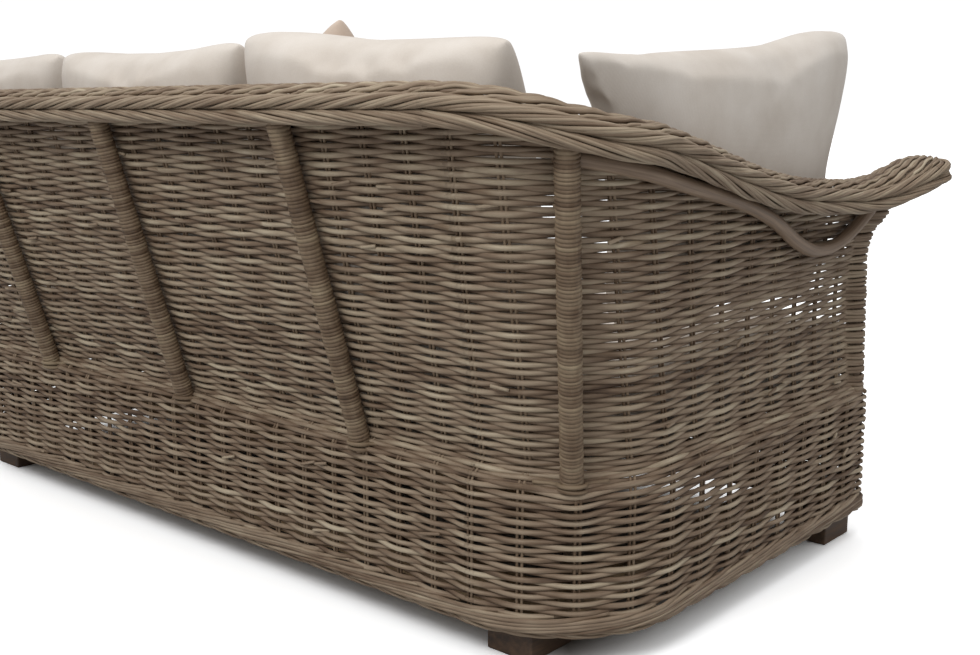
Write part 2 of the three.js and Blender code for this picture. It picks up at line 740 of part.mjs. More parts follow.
// A cushion with a crown and drawn-in sides: wide along X, thick along Y, tall along Z.
function cushion({ wide, tall, thick, edge, draw, end }, crownPower = 0.5) {
  const n = cushion_cells;
  const bend = (i) => Math.sin((Math.PI / 2) * ((2 * i) / n - 1));
  const points = [];
  const faces = [];
  for (const face of [1, -1])
    for (let j = 0; j <= n; j++)
      for (let i = 0; i <= n; i++) {
        const u = bend(i);
        const v = bend(j);
        const crown = ((1 - u * u) * (1 - v * v)) ** crownPower;
        const squeezed = end ? THREE.MathUtils.smoothstep(u, end.from_share, 1) : 0;
        const { tuck = 0, thin_share = 0, push = 0 } = end ?? {};
        points.push(
          point(
            (wide / 2) * u * (1 - draw * (1 - v * v)) - (tuck * squeezed * (1 - v)) / 2,
            face * (edge / 2 + ((thick - edge) / 2) * crown) * (1 - thin_share * squeezed) +
              push * squeezed,
            (tall / 2) * v * (1 - draw * (1 - u * u)),
          ),
        );
      }
  const at = (face, i, j) => face * (n + 1) * (n + 1) + j * (n + 1) + i;
  for (let j = 0; j < n; j++)
    for (let i = 0; i < n; i++) {
      const near = [at(0, i, j), at(0, i + 1, j), at(0, i + 1, j + 1), at(0, i, j + 1)];
      const far = [at(1, i, j), at(1, i + 1, j), at(1, i + 1, j + 1), at(1, i, j + 1)];
      faces.push(near[0], near[2], near[1], near[0], near[3], near[2]);
      faces.push(far[0], far[1], far[2], far[0], far[2], far[3]);
    }
  for (let k = 0; k < n; k++) {
    const sides = [
      [k, 0, k + 1, 0],
      [n, k, n, k + 1],
      [n - k, n, n - k - 1, n],
      [0, n - k, 0, n - k - 1],
    ];
    for (const [i0, j0, i1, j1] of sides) {
      const a = at(0, i0, j0);
      const b = at(0, i1, j1);
      const c = at(1, i1, j1);
      const d = at(1, i0, j0);
      faces.push(a, b, c, a, c, d);
    }
  }
  return closedSolid(points, faces);
}

function placed(solid, turns, at) {
  return turns.reduce((rest, turn) => rest.rotate(turn), solid).translate(at);
}

// Three boxed seat cushions, rounded at the back to fit the corners.
function makeSeatCushions() {
  const inner_side = seat_side - weave - cushion_gap;
  const post_side = half_length - weave - 2 * (front_post_radius + fit) - cushion_gap;
  const side = Math.min(inner_side, post_side);
  const wide = (2 * side - 2 * cushion_gap) / places.length;
  const rear = seat_rear - weave - seat_cushion_rear_gap;
  const front = front_face + seat_cushion_setback;
  const deep = rear - front;
  const shape = {
    wide,
    tall: deep,
    thick: seat_cushion_high,
    edge: seat_cushion_edge,
    draw: seat_cushion_draw_share,
  };
  const bend = upper_radius - weave;
  const arc = Array.from({ length: corner_steps + 1 }, (_, i) => {
    const turn = degToRad((90 * i) / corner_steps);
    return [side - bend + bend * Math.cos(turn), rear - bend + bend * Math.sin(turn)];
  });
  const plan = [
    [side, front - overrun],
    ...arc,
    ...arc.map(([x, y]) => [-x, y]).reverse(),
    [-side, front - overrun],
  ];
  const planAt = (z) => plan.map(([x, y]) => point(x, y, z));
  const guard = loft([planAt(cushion_bottom), planAt(cushion_top + overrun)]);
  const level = cushion_top - seat_cushion_high / 2;
  return places.map((name, i) => {
    const at = [(i - 1) * (wide + cushion_gap), front + deep / 2, level];
    const solid = placed(cushion(shape, seat_crown_power), [[90, 0, 0]], at);
    return piece(`seat_cushion_${name}`, "cushion", cut(solid.intersect(guard)));
  });
}

// Moves a clear solid along a direction until it nearly touches its neighbours.
function laid(solid, direction, neighbours, reach = lay_reach) {
  const step = point(...direction).normalize();
  const moved = (way) => solid.translate(step.clone().multiplyScalar(way).toArray());
  const clear = (way) => moved(way).intersect(neighbours).isEmpty();
  let near = 0;
  let far = reach;
  while (far - near > fit / 4) {
    const middle = (near + far) / 2;
    if (clear(middle)) near = middle;
    else far = middle;
  }
  return moved(near - fit);
}

// Loose pillows along the back and against the arms, and one small pillow in front of them.
function makePillows(seat, walls) {
  const lean = THREE.MathUtils.radToDeg(Math.atan(back_lean_share));
  const room = 2 * (seat_side - weave - pillow_side_gap);
  const wide = (room - 2 * cushion_gap) / places.length;
  const start_z = cushion_top + back_pillow.tall / 2;
  const start_y = seat_rear - lay_reach / 2;
  const laidPillow = (name, finish, shape, turns, at, towards, against) => {
    const dropped = laid(placed(cushion(shape), turns, at), [0, 0, -1], seat);
    return piece(name, finish, laid(dropped, towards, Manifold.union(against)));
  };
  const backPillows = places.map((name, i) =>
    laidPillow(
      `back_pillow_${name}`,
      "cushion",
      { wide, ...back_pillow },
      [[-lean, 0, 0]],
      [(i - 1) * (wide + cushion_gap), start_y, start_z + overrun],
      [0, 1, 0],
      [walls],
    ),
  );
  const turns = [[0, arm_pillow_roll, 0], [-arm_pillow_lean, 0, 0], [0, 0, 90]];
  const start = [lay_reach - seat_side, front_face + arm_pillow.wide / 2, start_z + overrun];
  const dropped = laid(placed(cushion({ ...arm_pillow, end: squeeze }), turns, start), [0, 0, -1], seat);
  const outward = laid(dropped, [-1, 0, 0], walls).translate([0, 0, slide_lift]);
  const around = walls.add(backPillows[0]);
  const rearward = laid(outward, [0, 1, 0], around);
  const armPillow = laid(rearward, [0, 0, -1], around.add(seat), slide_lift);
  pair("arm_pillow", "cushion", armPillow);
  laidPillow(
    "scatter_pillow",
    "scatter",
    scatter_pillow,
    [[0, scatter_roll, 0], [-scatter_lean, 0, 0]],
    [-scatter_place, start_y - back_pillow.thick, start_z + overrun],
    [0, 1, 0],
    backPillows,
  );
}

const rim = makeRim();
const posts = Manifold.union([makeBackPosts(rim), makeCornerPosts(rim), makeFrontPosts(rim)]);
makeHoops(makeBase());
makeSkirt(posts, makeDeck());
const skin = makeUpperSkin(rim, posts);
makeBows(rim, posts, skin);
const seat = Manifold.union(makeSeatCushions());
makePillows(seat, Manifold.union([rim, posts, skin]));

// The origin goes under the middle of the sofa's outer size.
const outside = new THREE.Box3().setFromObject(sofa);
sofa.position.y = -(outside.min.y + outside.max.y) / 2;

const part = new THREE.Group();
part.add(sofa);
export default part;
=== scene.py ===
# A three-seat woven rattan garden sofa with cushions. Metres, +Z up, the sitter faces -Y.
import json
import math

import bpy
import numpy as np
from mathutils import Euler, Matrix, Vector


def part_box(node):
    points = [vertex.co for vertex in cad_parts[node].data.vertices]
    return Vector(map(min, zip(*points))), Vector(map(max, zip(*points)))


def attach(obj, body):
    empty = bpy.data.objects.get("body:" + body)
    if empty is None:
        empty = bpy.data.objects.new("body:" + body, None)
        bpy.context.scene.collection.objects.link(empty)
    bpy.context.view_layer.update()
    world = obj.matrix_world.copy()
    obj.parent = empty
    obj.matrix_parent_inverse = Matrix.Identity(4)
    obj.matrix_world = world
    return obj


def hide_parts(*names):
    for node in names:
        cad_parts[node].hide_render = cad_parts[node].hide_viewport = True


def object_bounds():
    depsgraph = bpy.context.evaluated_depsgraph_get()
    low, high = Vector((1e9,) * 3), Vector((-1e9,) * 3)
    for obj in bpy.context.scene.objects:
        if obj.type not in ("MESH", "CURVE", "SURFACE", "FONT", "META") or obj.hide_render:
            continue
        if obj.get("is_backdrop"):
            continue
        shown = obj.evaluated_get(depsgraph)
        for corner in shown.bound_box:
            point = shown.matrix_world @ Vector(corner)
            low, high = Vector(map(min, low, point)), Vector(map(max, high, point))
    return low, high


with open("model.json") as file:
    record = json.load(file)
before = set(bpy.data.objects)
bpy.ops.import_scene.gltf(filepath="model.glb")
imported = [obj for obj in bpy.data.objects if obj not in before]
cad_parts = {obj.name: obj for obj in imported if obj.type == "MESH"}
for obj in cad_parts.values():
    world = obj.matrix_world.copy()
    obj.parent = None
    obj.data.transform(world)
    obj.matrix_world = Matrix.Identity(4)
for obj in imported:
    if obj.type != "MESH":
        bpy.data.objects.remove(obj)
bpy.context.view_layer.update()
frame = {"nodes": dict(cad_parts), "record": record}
rng = np.random.default_rng(20)

# Sizes, as in the part.
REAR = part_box("foot_rear_left")[1].y  # the back of the rear feet
SIDES = ((-1, "left"), (1, "right"))
HALF = 0.922
BASE_REAR, BASE_FRONT = REAR + 0.040, REAR - 0.865
SEAT, RIM = 0.285, 0.808
LEAN = RIM - SEAT  # how high the leaning wall is
BACK_SLOPE, ARM_LEAN = 0.3, 0.060
SKIN = 0.014
BASE_R, FRONT_R = 0.220, 0.026
SKIRT_LOW = 0.0713
IN_REAR, IN_SIDE = BASE_REAR - 0.028, HALF - 0.017
TOP_REAR, TOP_SIDE = IN_REAR + BACK_SLOPE * LEAN, IN_SIDE + ARM_LEAN
LOW_R, TOP_R = 0.200, 0.189
LOW_C = (IN_SIDE - LOW_R, IN_REAR - LOW_R)
TOP_C = (TOP_SIDE - TOP_R, TOP_REAR - TOP_R)
ARM_START = TOP_C[1]
SKIN_FRONT = BASE_FRONT + SKIN
ARM_END = SKIN_FRONT + 0.025
BORDER_WIDE, BORDER_HIGH, BORDER_IN = 0.084, 0.052, 0.003
ARM_RUN, ARM_DROP, ARM_FLARE = 0.828, 0.100, 0.050
ARM_REACH = TOP_SIDE - BORDER_IN - 0.14 * ARM_FLARE

# Shares of the arm's length, and the border's drop, flare, width and height there.
ARM_AT = [0, 0.12, 0.24, 0.37, 0.5, 0.64, 0.76, 0.84, 0.91, 1.0]
DROPS = [0.5, 0.72, 0.96, 1.2, 1.36, 1.44, 1.46, 1.38, 1.22, 1.02]
FLARES = [0.14, 0.11, 0.05, 0.01, 0, 0.03, 0.22, 0.48, 0.76, 1.02]
WIDTHS = [1, 1, 1, 1, 1, 1.03, 1.12, 1.22, 1.3, 1.3]
HEIGHTS = [1, 1, 1, 1, 1, 0.98, 0.94, 0.9, 0.88, 0.84]
CORNER_DROP = np.array([0, 0.05, 0.16, 0.3, 0.42, 0.5])


def smooth(x, xp, fp):
    """A smooth curve through points."""
    xp, fp = np.asarray(xp, float), np.asarray(fp, float)
    slope = np.gradient(fp, xp)
    x = np.clip(x, xp[0], xp[-1])
    i = np.clip(np.searchsorted(xp, x) - 1, 0, len(xp) - 2)
    span = xp[i + 1] - xp[i]
    t = (x - xp[i]) / span
    a, b = 2 * t**3 - 3 * t**2 + 1, t**3 - 2 * t**2 + t
    c, d = 3 * t**2 - 2 * t**3, t**3 - t**2
    return a * fp[i] + b * span * slope[i] + c * fp[i + 1] + d * span * slope[i + 1]


def mix(a, b, t):
    return a + (b - a) * t


def ease(t):
    t = np.clip(t, 0, 1)
    return t * t * (3 - 2 * t)


def bell(x, middle, spread):
    """One at the middle, and nothing a few spreads away from it."""
    return np.exp(-(((x - middle) / spread) ** 2))


def run_along(points):
    """How far along a path each of its points lies."""
    return np.concatenate([[0], np.cumsum(np.linalg.norm(np.diff(points, axis=0), axis=1))])


def follow(s, run, points):
    """Where a path is at some distances along it."""
    return np.stack([np.interp(s, run, column) for column in points.T], -1)


def rim_z(share):
    return RIM - ARM_DROP * smooth(share, ARM_AT, DROPS)


def rim_x(share):
    return ARM_REACH + ARM_FLARE * smooth(share, ARM_AT, FLARES)


# The wall, round which the stakes are numbered.
ARM_CELLS, CORNER_CELLS, REAR_CELLS, FRONT_CELLS = 8, 4, 19, 23
REAR_START = ARM_CELLS + CORNER_CELLS
AROUND = 2 * REAR_START + REAR_CELLS
REAR_END = AROUND - REAR_START
LOOP = AROUND + FRONT_CELLS


def place_of(q):
    """A stake's number from its arm's front, its shares of the arm and the corner, and the border's there."""
    n = np.minimum(q, AROUND - q)
    along = np.clip(1 - n / ARM_CELLS, 0, 1)
    run = (ARM_START - mix(ARM_START, ARM_END, along)) / ARM_RUN
    return n, along, np.clip((n - ARM_CELLS) / CORNER_CELLS, 0, 1), run


def corner_centre(share):
    return mix(LOW_C[0], TOP_C[0], share), mix(LOW_C[1], TOP_C[1], share)


def upper_wall(q, z):
    """The outer face above the seat, at a stake number and a height."""
    q, z = np.broadcast_arrays(np.asarray(q, float), np.asarray(z, float))
    side = np.where(q < AROUND / 2, -1.0, 1.0)
    n, along, turn, run = place_of(q)
    share = np.clip((z - SEAT) / LEAN, 0, 1)
    top = rim_z(run)
    level = np.clip((z - SEAT) / (top - SEAT), 0, 1.15)
    flare = rim_x(run) - (TOP_SIDE - BORDER_IN)
    lean = ARM_LEAN * (top - SEAT) / LEAN + 0.35 * flare * along
    arm_x = IN_SIDE + lean * level ** (1 + 4 * along**2)
    arm_x = arm_x - 0.013 * along**2 * np.sin(math.pi * np.clip(level, 0, 1))
    arm_y = mix(mix(LOW_C[1], SKIN_FRONT, along), mix(ARM_START, ARM_END, along), share)
    turn = turn * math.pi / 2
    reach = mix(LOW_R, TOP_R, share)
    cx, cy = corner_centre(share)
    corner_x, corner_y = cx + reach * np.cos(turn), cy + reach * np.sin(turn)
    rear_x = cx * (1 - np.clip((n - ARM_CELLS - CORNER_CELLS) / (REAR_CELLS / 2), 0, 1))
    rear_y = mix(IN_REAR, TOP_REAR, share)
    in_corner, in_rear = n > ARM_CELLS, n > REAR_START
    x = np.where(in_rear, rear_x, np.where(in_corner, corner_x, arm_x))
    y = np.where(in_rear, rear_y, np.where(in_corner, corner_y, arm_y))
    return np.stack([side * x, y, z], -1)


def corner_z(turn):
    """The height of the border's centre round a corner, from the arm at 0 to the back at 1."""
    steps = np.linspace(0, 1, len(CORNER_DROP))
    return RIM - ARM_DROP * smooth(1 - turn, steps, CORNER_DROP)


def rim_over(q):
    """The height of the border's centre over a stake."""
    n, _, turn, run = place_of(q)
    return np.where(n > ARM_CELLS, corner_z(turn), rim_z(run))


ARC = 40  # points in each arc of the plan


def arc(cx, cy, r, start, end):
    t = np.radians(np.linspace(start, end, ARC))
    return np.stack([cx + r * np.cos(t), cy + r * np.sin(t)], -1)


def base_outline():
    """The plan of the base from the middle of the front left corner round to the same place."""
    big_x, big_y = HALF - BASE_R, BASE_REAR - BASE_R
    small_x, small_y = HALF - FRONT_R, BASE_FRONT + FRONT_R
    runs = [
        arc(-small_x, small_y, FRONT_R, 225, 180),
        arc(-big_x, big_y, BASE_R, 180, 90),
        arc(big_x, big_y, BASE_R, 90, 0),
        arc(small_x, small_y, FRONT_R, 0, -45),
        arc(small_x, small_y, FRONT_R, -45, -90),
        arc(-small_x, small_y, FRONT_R, 270, 225),
    ]
    points = np.concatenate(runs)
    length = run_along(points)
    # The points where the parts of the plan end, and the numbers of the stakes there.
    marks = [0, ARC, 2 * ARC - 1, 2 * ARC, 3 * ARC - 1, 4 * ARC - 1, 6 * ARC - 1]
    stakes = [0, ARM_CELLS, REAR_START, REAR_END, AROUND - ARM_CELLS, AROUND, LOOP]
    return points, length, stakes, length[marks]


OUTLINE = base_outline()
POST_TURN = 48  # where a corner post stands on the corner, in degrees from the side
SWELL = 0.024  # how far the rows below it come out


def base_wall(q, z):
    points, length, stakes, at = OUTLINE
    s = np.interp(np.mod(q, LOOP), stakes, at)
    x, y = np.interp(s, length, points[:, 0]), np.interp(s, length, points[:, 1])
    x, y, z, q = np.broadcast_arrays(x, y, np.asarray(z, float), q)
    turn = math.radians(POST_TURN)
    for side in (-1, 1):
        foot = ARM_CELLS + CORNER_CELLS * POST_TURN / 90
        foot = foot if side < 0 else AROUND - foot
        swell = SWELL * ease((z - 0.17) / 0.11) * bell(q, foot, 0.5)
        x = x + side * swell * math.cos(turn)
        y = y + swell * math.sin(turn)
    return np.stack([x, y, z], -1)


LEDGE_LOW, LEDGE_RISE = 0.271, 0.034


def wall(q, z):
    """The whole outer face, from the base up, drawn in above the seat line."""
    inside = np.asarray(q) <= AROUND
    t = ease((np.asarray(z) - LEDGE_LOW) / LEDGE_RISE)
    t = np.where(inside, t, 0)[..., None]
    return mix(base_wall(q, z), upper_wall(np.clip(q, 0, AROUND), z), t)


# Strands.
def unit(v):
    return v / np.maximum(np.linalg.norm(v, axis=-1, keepdims=True), 1e-9)


class Strands:
    """Tubes of cane gathered into one mesh."""

    def __init__(self):
        self.verts, self.quads, self.tones, self.uvs = [], [], [], []
        self.count = 0

    def add(self, points, radius, tone, hint=(0, 0, 1), sides=6, closed=False):
        points = np.asarray(points, float)
        n = len(points)
        radius = np.broadcast_to(np.asarray(radius, float), (n,)).copy()
        tone = np.broadcast_to(np.asarray(tone, float), (n,)).copy()
        hint = np.broadcast_to(np.asarray(hint, float), (n, 3))
        if closed:
            along = unit(np.roll(points, -1, 0) - np.roll(points, 1, 0))
        else:
            along = unit(np.gradient(points, axis=0))
        side = unit(np.cross(along, hint))
        up = np.cross(side, along)
        run = run_along(points) + rng.uniform(0, 50)
        if closed:
            rows = (points, side, up, radius, tone)
            points, side, up, radius, tone = (np.concatenate([a, a[:1]]) for a in rows)
            run = np.append(run, run[-1] + np.linalg.norm(points[-1] - points[-2]))
        else:
            rows = (points, side, up, tone, run)
            points, side, up, tone, run = (np.concatenate([a[:1], a, a[-1:]]) for a in rows)
            radius = np.concatenate([[1e-5], radius, [1e-5]])
        n = len(points)
        turn = 2 * math.pi * (np.arange(sides) + 0.5) / sides
        out = np.cos(turn)[None, :, None] * side[:, None, :]
        out = out + np.sin(turn)[None, :, None] * up[:, None, :]
        ring = points[:, None, :] + radius[:, None, None] * out
        i = np.arange(n - 1)[:, None] * sides
        j = np.arange(sides)[None, :]
        k = (j + 1) % sides
        quads = np.stack([i + j, i + sides + j, i + sides + k, i + k], -1).reshape(-1, 4)
        u0, u1 = run[:-1, None] + 0 * j, run[1:, None] + 0 * j
        v0, v1 = j / sides + 0 * u0, (j + 1) / sides + 0 * u0
        corners = ((u0, v0), (u1, v0), (u1, v1), (u0, v1))
        uv = np.stack([np.stack(corner, -1) for corner in corners], 2)
        self.verts.append(ring.reshape(-1, 3))
        self.quads.append(quads + self.count)
        self.tones.append(np.repeat(tone, sides))
        self.uvs.append(uv.reshape(-1, 2))
        self.count += n * sides

    def build(self, name, material, slot, replaced=()):
        verts = np.concatenate(self.verts).astype(np.float32)
        quads = np.concatenate(self.quads).astype(np.int32)
        mesh = bpy.data.meshes.new(name)
        mesh.vertices.add(len(verts))
        mesh.vertices.foreach_set("co", verts.ravel())
        mesh.loops.add(quads.size)
        mesh.loops.foreach_set("vertex_index", quads.ravel())
        mesh.polygons.add(len(quads))
        mesh.polygons.foreach_set("loop_start", np.arange(0, quads.size, 4, dtype=np.int32))
        mesh.polygons.foreach_set("use_smooth", np.ones(len(quads), bool))
        mesh.update(calc_edges=True)
        layer = mesh.uv_layers.new(name="strand")
        layer.data.foreach_set("uv", np.concatenate(self.uvs).astype(np.float32).ravel())
        tone = mesh.attributes.new("tone", "FLOAT", "POINT")
        tone.data.foreach_set("value", np.concatenate(self.tones).astype(np.float32))
        finish_piece(bpy.data.objects.new(name, mesh), material, replaced)


def finish_piece(obj, material, replaced=()):
    if obj.name not in bpy.context.scene.collection.objects:
        bpy.context.scene.collection.objects.link(obj)
    obj.data.materials.clear()
    obj.data.materials.append(material)
    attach(obj, "root")
    if replaced:
        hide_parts(*replaced)


def new_mesh_object(name, verts, faces):
    mesh = bpy.data.meshes.new(name)
    mesh.from_pydata([tuple(map(float, v)) for v in verts], [], faces)
    obj = bpy.data.objects.new(name, mesh)
    bpy.context.scene.collection.objects.link(obj)
    return obj


def apply_modifiers(obj):
    graph = bpy.context.evaluated_depsgraph_get()
    new = bpy.data.meshes.new_from_object(obj.evaluated_get(graph))
    old = obj.data
    obj.modifiers.clear()
    obj.data = new
    bpy.data.meshes.remove(old)


# Materials.
def srgb(r, g, b):
    c = np.array([r, g, b]) / 255
    c = np.where(c <= 0.04045, c / 12.92, ((c + 0.055) / 1.055) ** 2.4)
    return (*c.tolist(), 1.0)


class Nodes:
    """The node tree of a material or world, written a node at a time."""

    def __init__(self, name, kind="materials"):
        self.owner = getattr(bpy.data, kind).new(name)
        self.owner.use_nodes = True
        self.tree = self.owner.node_tree

    def fill(self, made, inputs):
        """Gives each input its value, or a link where the value is another node's output."""
        for key, value in inputs.items():
            if hasattr(value, "is_linked"):
                self.tree.links.new(value, made.inputs[key])
            else:
                made.inputs[key].default_value = value

    def node(self, kind, inputs=None, **settings):
        made = self.tree.nodes.new(kind)
        for key, value in settings.items():
            setattr(made, key, value)
        self.fill(made, inputs or {})
        return made

    def place(self, strand=False):
        """Where a point lies: in the object, or along and round its strand."""
        if strand:
            return self.node("ShaderNodeUVMap", uv_map="strand").outputs["UV"]
        return self.node("ShaderNodeTexCoord").outputs["Object"]

    def noise(self, where, scale, detail=3.0, rough=0.5, distortion=0.0):
        inputs = {"Scale": scale, "Detail": detail, "Roughness": rough, "Distortion": distortion}
        return self.node("ShaderNodeTexNoise", {"Vector": where, **inputs}).outputs["Fac"]

    def mapped(self, where, scale):
        return self.node("ShaderNodeMapping", {"Scale": scale, "Vector": where}).outputs["Vector"]

    def ramp(self, source, stops):
        made = self.node("ShaderNodeValToRGB", {"Fac": source})
        while len(made.color_ramp.elements) < len(stops):
            made.color_ramp.elements.new(0.5)
        for element, (at, colour) in zip(made.color_ramp.elements, stops):
            element.position = at
            element.color = colour
        return made.outputs["Color"]

    def span(self, source, low, high, to_low, to_high):
        inputs = {"From Min": low, "From Max": high, "To Min": to_low, "To Max": to_high}
        return self.node("ShaderNodeMapRange", {"Value": source, **inputs}).outputs["Result"]

    def spread(self, source, to_low, to_high):
        """A noise's usual range, spread over another."""
        return self.span(source, 0.3, 0.7, to_low, to_high)

    def blend(self, kind, fac, a, b):
        made = self.node("ShaderNodeMix", {}, data_type="RGBA", blend_type=kind)
        self.fill(made, {0: fac, 6: a, 7: b})
        return made.outputs[2]

    def add(self, a, b, kind="ADD"):
        return self.node("ShaderNodeMath", {0: a, 1: b}, operation=kind).outputs[0]

    def done(self, colour, rough, height=None, strength=0.4, distance=0.001, **plain):
        inputs = {"Base Color": colour, "Roughness": rough}
        inputs.update((key.replace("_", " "), value) for key, value in plain.items())
        if height is not None:
            bump = {"Strength": strength, "Distance": distance, "Height": height}
            inputs["Normal"] = self.node("ShaderNodeBump", bump).outputs["Normal"]
        self.fill(self.tree.nodes["Principled BSDF"], inputs)
        return self.owner


def cane(name, stops):
    """Weathered cane: each strand has its own tone, with streaks along it and darker knots."""
    n = Nodes(name)
    tone = n.node("ShaderNodeAttribute", attribute_name="tone").outputs["Fac"]
    uv, here = n.place(strand=True), n.place()
    streak = n.noise(n.mapped(uv, (22, 5, 1)), 1.0, 4, 0.6)
    patch = n.noise(here, 14, 2)
    shade = n.add(tone, n.spread(streak, -0.16, 0.16))
    shade = n.add(shade, n.spread(patch, -0.09, 0.09))
    colour = n.ramp(shade, stops)
    knots = n.noise(n.mapped(uv, (5.5, 0.15, 1)), 1.0, 1)
    clear, dark = (1, 1, 1, 1), (0.62, 0.55, 0.48, 1)
    knot = n.ramp(knots, [(0.66, clear), (0.70, dark), (0.74, clear)])
    colour = n.blend("MULTIPLY", 0.8, colour, knot)
    fibre = n.noise(n.mapped(uv, (40, 14, 1)), 1.0, 3, 0.7)
    return n.done(colour, n.spread(fibre, 0.5, 0.75), fibre, 0.35, 0.0006, Specular_IOR_Level=0.35)


CANE = [
    (0.0, srgb(76, 58, 44)),
    (0.22, srgb(109, 89, 71)),
    (0.42, srgb(131, 112, 93)),
    (0.58, srgb(146, 128, 108)),
    (0.78, srgb(163, 147, 125)),
    (1.0, srgb(183, 169, 146)),
]


def solid(name, stops, scale, noise, rough, bump, strand=False, **plain):
    """A material whose colour, roughness and bump all follow one noise."""
    n = Nodes(name)
    where = n.place(strand)
    grain = n.noise(n.mapped(where, scale) if scale else where, *noise)
    stops = [(at, srgb(*colour)) for at, *colour in stops]
    return n.done(n.ramp(grain, stops), n.spread(grain, *rough), grain, *bump, **plain)


def tinted(red, green, blue):
    """The cane's colours, darkened."""
    return [(at, (c[0] * red, c[1] * green, c[2] * blue, 1)) for at, c in CANE]


def cloth(name, *stops):
    """Plain-woven cotton with fine threads and soft slubs."""
    n = Nodes(name)
    here = n.place()
    slub = n.noise(here, 9, 3, 0.55)
    fine = n.noise(here, 420, 2, 0.6)
    wave = {"Scale": 260.0, "Distortion": 1.2, "Detail": 1.0, "Vector": here}
    threads = [n.node("ShaderNodeTexWave", wave, bands_direction=way).outputs["Fac"] for way in "XYZ"]
    weave = n.add(n.add(threads[0], threads[1]), threads[2])
    stops = [(at, srgb(*colour)) for at, *colour in stops]
    colour = n.ramp(n.add(slub, n.spread(fine, -0.05, 0.05)), stops)
    height = n.add(n.span(weave, 0, 3, 0, 1), fine)
    sheen = {"Specular_IOR_Level": 0.2, "Sheen_Weight": 0.12, "Sheen_Roughness": 0.5}
    return n.done(colour, n.spread(fine, 0.85, 0.98), height, 0.22, 0.0005, **sheen)


POLE = [(0.3, 108, 88, 70), (0.5, 133, 112, 93), (0.62, 145, 124, 104), (0.75, 160, 141, 119)]
STAINED = [(0.3, 48, 33, 22), (0.5, 76, 56, 40), (0.7, 98, 74, 54)]
SAWN = [(0.3, 132, 103, 74), (0.55, 172, 142, 106), (0.75, 190, 163, 128)]
BLACK = [(0.4, 18, 17, 19), (0.7, 46, 43, 42)]
STEEL = [(0.3, 120, 122, 126), (0.7, 168, 170, 174)]
FINE = {"strand": True, "Specular_IOR_Level": 0.4}
M = {
    "weave": cane("cane_weave", CANE),
    "braid": cane("cane_braid", CANE),
    "stake": cane("cane_stake", tinted(0.95, 0.92, 0.88)),
    "binding": cane("cane_binding", tinted(0.70, 0.66, 0.60)),
    "pole": solid("peeled_pole", POLE, (7, 14, 1), (1.0, 5, 0.65), (0.42, 0.6), (0.2, 0.0008), **FINE),
    "foot": solid("stained_wood", STAINED, (40, 6, 60), (1.6, 6, 0.65, 0.4), (0.45, 0.7), (0.3, 0.001)),
    "timber": solid("sawn_timber", SAWN, (3, 9, 55), (1.4, 6, 0.65, 0.6), (0.6, 0.85), (0.35, 0.001)),
    "hoop": solid("black_rod", BLACK, None, (60, 4), (0.4, 0.65), (0.2, 0.0004)),
    "bolt_steel": solid("plain_steel", STEEL, None, (180, 4), (0.3, 0.5), (0.15, 0.0003), Metallic=1.0),
    "cushion": cloth("cushion_cloth", (0.3, 205, 195, 184), (0.5, 214, 205, 195), (0.7, 222, 214, 205)),
    "scatter": cloth("scatter_cloth", (0.3, 196, 176, 160), (0.5, 205, 186, 170), (0.7, 212, 195, 180)),
}

# The weave.
ROW = 0.0070  # from one row to the next, along the wall
WAVE = 0.0046  # how far a weaver passes outside or inside the middle of the wall
SAG = 0.0010  # how far it dips where it passes outside a stake
CANE_R = 0.0040
PER_CELL = 9
MIDDLE = SKIN / 2


def row_levels():
    """The rows' heights, evenly spaced along the wall's slope."""
    z = np.arange(SKIRT_LOW, RIM, 0.0005)
    out = ease((z - LEDGE_LOW) / LEDGE_RISE) * 0.030
    run = np.concatenate([[0], np.cumsum(np.hypot(np.diff(z), np.diff(out)))])
    return np.interp(np.arange(ROW / 2, run[-1], ROW), run, z)


def square_to(along):
    """The level direction square to a path, on its outer side."""
    return unit(np.stack([-along[:, 1], along[:, 0], 0 * along[:, 0]], -1))


def outward(points):
    return square_to(unit(np.gradient(points, axis=0)))


def wobble(q, seed, size):
    r = np.random.default_rng(seed)
    total = np.zeros_like(q)
    for rate in (0.23, 0.61, 1.37):
        total += np.sin(rate * r.uniform(0.8, 1.2) * q + r.uniform(0, 6.3)) / (1 + 2 * rate)
    return size * total


def drift(q, z):
    return 0.0011 * np.sin(0.83 * q + 31 * z) + 0.0009 * np.sin(0.41 * q - 53 * z + 2.0)


def strand_tone(q, seed):
    """Each length of cane, some two metres long, has its own tone."""
    r = np.random.default_rng(seed + 7000)
    ends = np.cumsum(r.uniform(14, 30, 8)) - r.uniform(0, 20)
    tones = np.clip(r.normal(0.5, 0.13, 9), 0.12, 0.92)
    return tones[np.searchsorted(ends, q)] + 0.05 * np.sin(1.7 * q + seed)


def snugness(q, z):
    """How much tighter the rows lie, by their place round the wall and their height."""
    n = np.minimum(q, AROUND - q)
    by_corner_post = 0.42 * bell(n, 10, 1.0)
    by_arm_front = 0.28 * ease((2.6 - n) / 1.6)
    on_ledge = 0.12 * bell(z, 0.292, 0.022)
    on_arm = 0.42 * bell(z, 0.505, 0.050) * ease((8 - n) / 2) * ease((n - 1) / 2)
    under_ledge = 0.45 * bell(z, 0.258, 0.020) * ease((9 - n) / 1.5) * ease((n - 2) / 1.5)
    under_bow = 0.38 * bell(n, 2.4, 1.2) * ease((z - 0.50) / 0.06)
    tight = np.where(z > 0.26, by_corner_post + by_arm_front, 0)
    tight = tight + on_ledge + on_arm + under_ledge + under_bow
    return np.where(q < AROUND, np.minimum(tight, 0.6), 0)


